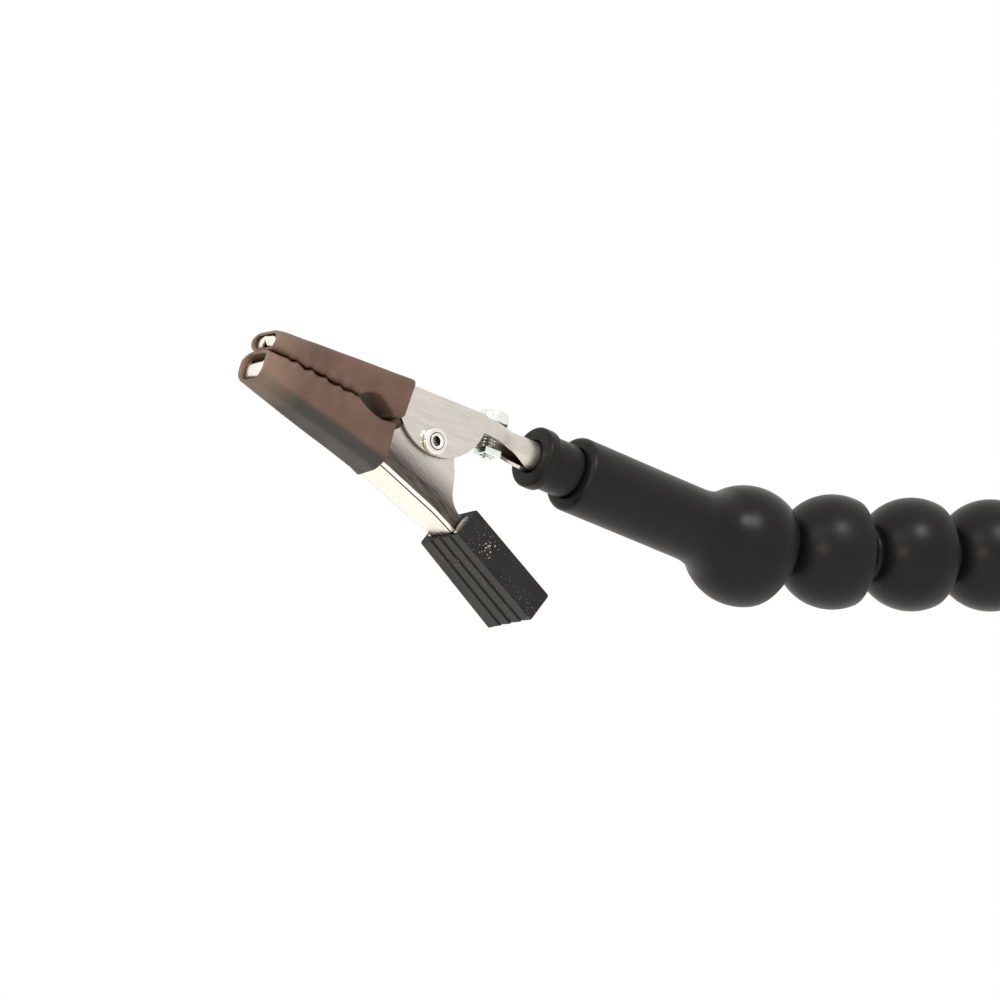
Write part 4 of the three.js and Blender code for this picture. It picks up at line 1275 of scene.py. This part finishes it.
class HAND_OT_nozzle(Piece, bpy.types.Operator):
    """The long nozzle that takes the plug and flares into the first ball socket"""
    bl_idname = "hand.nozzle"
    bl_label = "Nozzle"

    def execute(self, context):
        outside = ([(7.3, 4.0), (7.3, 4.5)] + arc(8.4, 4.5, 1.1, 180, 90, 8)[1:]
                   + [(14, 5.6), (24, 5.6), (30, 5.62)]
                   + curve((31.5, 5.63), (34.85, 5.67), (36.97, 7.33), 14)
                   + arc(42.7, 0, 9.3, 128, 68, 22)[1:] + arc(45.85, 7.79, 0.9, 68, -10, 8)[1:]
                   + [(46.85, 7.05), (46.8, 6.7)])
        inside = arc(BELL_X, 0, SOCKET_R, 60, 158, 18) + [(28.6, BORE_R), (24.6, 4.0), (7.3, 4.0)]
        build("nozzle_moulded", lathe(outside + inside), TOOL, "nozzle_end", "nozzle",
              finish_of("hose"), sharp=40)
        return {"FINISHED"}


class HAND_OT_segments(Piece, bpy.types.Operator):
    """The ball-and-socket segments of the arm"""
    bl_idname = "hand.segments"
    bl_label = "Hose segments"

    def execute(self, context):
        ball = ball_end(-PITCH)
        outside = (ball + curve((-PITCH + 5.75, 3.95), (-PITCH + 6.5, 3.5), (-7.75, 4.2), 6)[1:]
                   + arc(0, 0, 8.9, 150, 69, 20) + arc(3.0, 7.75, 0.6, 60, -10, 5))
        inside = ([(3.62, 7.1), (3.6, 6.6)] + arc(0, 0, SOCKET_R, 60, 158, 16)
                  + [(-PITCH + BORE_FROM_BALL, BORE_R), ball[0]])
        for number in range(5, 0, -1):
            build(f"hose_segment_{number}", lathe(outside + inside), segment_frame(number),
                  f"segment_{number}", f"arm_segment_{number}", finish_of("hose"), sharp=40)
        return {"FINISHED"}


class HAND_OT_base(Piece, bpy.types.Operator):
    """The base connector: ball, shoulder and threaded stub"""
    bl_idname = "hand.base"
    bl_label = "Base connector"

    def execute(self, context):
        body = (ball_end(BASE_BALL_X)
                + curve((BASE_BALL_X + 5.75, 3.95), (-6.4, 3.7), (-4.7, 5.0), 6)[1:] + [(-3.5, 7.4)]
                + arc(-3.5, 7.9, 0.3, 180, 100, 3) + arc(-2.7, 10.5, 0.5, 180, 90, 6)
                + arc(-0.5, 10.5, 0.5, 90, 0, 6) + [(0, 6.3)])
        connector = lathe(body)
        rim = list(range(len(connector.points) - 96, len(connector.points)))
        rows = threaded(0.0, 9.6, 6.6, 1.35, context.scene.hand_hose.thread_depth / MM, 96)
        laid = connector.sheet(rows, True)
        connector.bridge(rim, laid[0], True)
        ends = [connector.row([(x, r * math.cos(2 * math.pi * i / 96), r * math.sin(2 * math.pi * i / 96))
                               for i in range(96)]) for x, r in ((10.0, 5.5), (10.0, 2.9), (9.8, BORE_R),
                                                                 (BASE_BALL_X + BORE_FROM_BALL, BORE_R))]
        for a, b in zip([laid[-1]] + ends, ends + [list(range(96))]):
            connector.bridge(a, b, True)
        build("base_connector_threaded", connector, BASE, "base", "base_connector",
              finish_of("hose"), sharp=40)
        return {"FINISHED"}


EYE_FROM_PIVOT = Vector((9.208, -420.0, -8.097)) * MM


class HAND_OT_stage(Piece, bpy.types.Operator):
    """The camera, the pale floor and the soft studio light"""
    bl_idname = "hand.stage"
    bl_label = "Stage"

    def execute(self, context):
        scene = context.scene
        stage = scene.hand_stage
        world = bpy.data.worlds.new("white surround")
        world.use_nodes = True
        back = world.node_tree.nodes["Background"]
        back.inputs["Color"].default_value = (1, 1, 1, 1)
        back.inputs["Strength"].default_value = stage.backdrop
        scene.world = world
        scene.view_settings.view_transform = "Standard"
        scene.view_settings.look = "None"

        pivot = spot("jaw_open") + axis_of("jaw_open") * HALF_EAR * MM
        eye = bpy.data.cameras.new("camera")
        eye.lens, eye.sensor_width, eye.clip_start = 108.864, 36.0, 0.01
        camera = bpy.data.objects.new("camera", eye)
        scene.collection.objects.link(camera)
        camera.location = pivot + EYE_FROM_PIVOT
        camera.rotation_euler = (math.radians(90), 0, 0)
        scene.camera = camera

        floor_mesh = bpy.data.meshes.new("floor")
        floor_mesh.from_pydata([(-1, -1, 0), (1, -1, 0), (1, 1, 0), (-1, 1, 0)], [], [(0, 1, 2, 3)])
        material, _, _ = blank("pale floor", Base_Color=(0.9, 0.89, 0.88, 1), Roughness=0.9)
        floor_mesh.materials.append(material)
        floor = bpy.data.objects.new("floor", floor_mesh)
        floor.location = pivot + Vector((0.05, 0, -stage.floor_drop))
        scene.collection.objects.link(floor)

        lights = [("key", (-0.55, -0.75, 0.75), 0.5, stage.key_power, (1.0, 0.93, 0.84)),
                  ("top", (0.3, -0.55, 0.7), 0.3, stage.key_power * 2.0, (1.0, 0.96, 0.91)),
                  ("rim", (-0.36, -0.92, 0.12), 0.14, stage.key_power * 0.9, (1.0, 0.8, 0.62))]
        for name, offset, size, power, colour in lights:
            data = bpy.data.lights.new(name, "AREA")
            data.shape, data.size, data.energy, data.color = "DISK", size, power, colour
            lamp = bpy.data.objects.new(name, data)
            lamp.location = pivot + Vector(offset)
            lamp.rotation_euler = (pivot - lamp.location).to_track_quat("-Z", "Y").to_euler()
            scene.collection.objects.link(lamp)
        return {"FINISHED"}


PIECES = (HAND_OT_fixed_jaw, HAND_OT_moving_jaw, HAND_OT_rivet, HAND_OT_spring, HAND_OT_sleeves,
          HAND_OT_grip,
          HAND_OT_terminal, HAND_OT_plug, HAND_OT_nozzle, HAND_OT_segments, HAND_OT_base, HAND_OT_stage)
SETTINGS = {"hand_metal": HandMetal, "hand_sleeves": HandSleeves, "hand_grip": HandGrip,
            "hand_hose": HandHose,
            "hand_stage": HandStage}


class HAND_PT_panel(bpy.types.Panel):
    """Settings and operators of the clip arm"""
    bl_idname = "HAND_PT_panel"
    bl_label = "Helping hand"
    bl_space_type = "VIEW_3D"
    bl_region_type = "UI"
    bl_category = "Helping hand"

    def draw(self, context):
        for name, kind in SETTINGS.items():
            box = self.layout.box()
            for key in kind.__annotations__:
                box.prop(getattr(context.scene, name), key)
        for piece in PIECES:
            self.layout.operator(piece.bl_idname)


def register():
    for kind in (*SETTINGS.values(), *PIECES, HAND_PT_panel):
        bpy.utils.register_class(kind)
    for name, kind in SETTINGS.items():
        setattr(bpy.types.Scene, name, bpy.props.PointerProperty(type=kind))


def unregister():
    for name in SETTINGS:
        delattr(bpy.types.Scene, name)
    for kind in reversed((*SETTINGS.values(), *PIECES, HAND_PT_panel)):
        bpy.utils.unregister_class(kind)


def main():
    register()
    for piece in PIECES:
        group, action = piece.bl_idname.split(".")
        getattr(getattr(bpy.ops, group), action)()


if __name__ == "__main__":
    main()
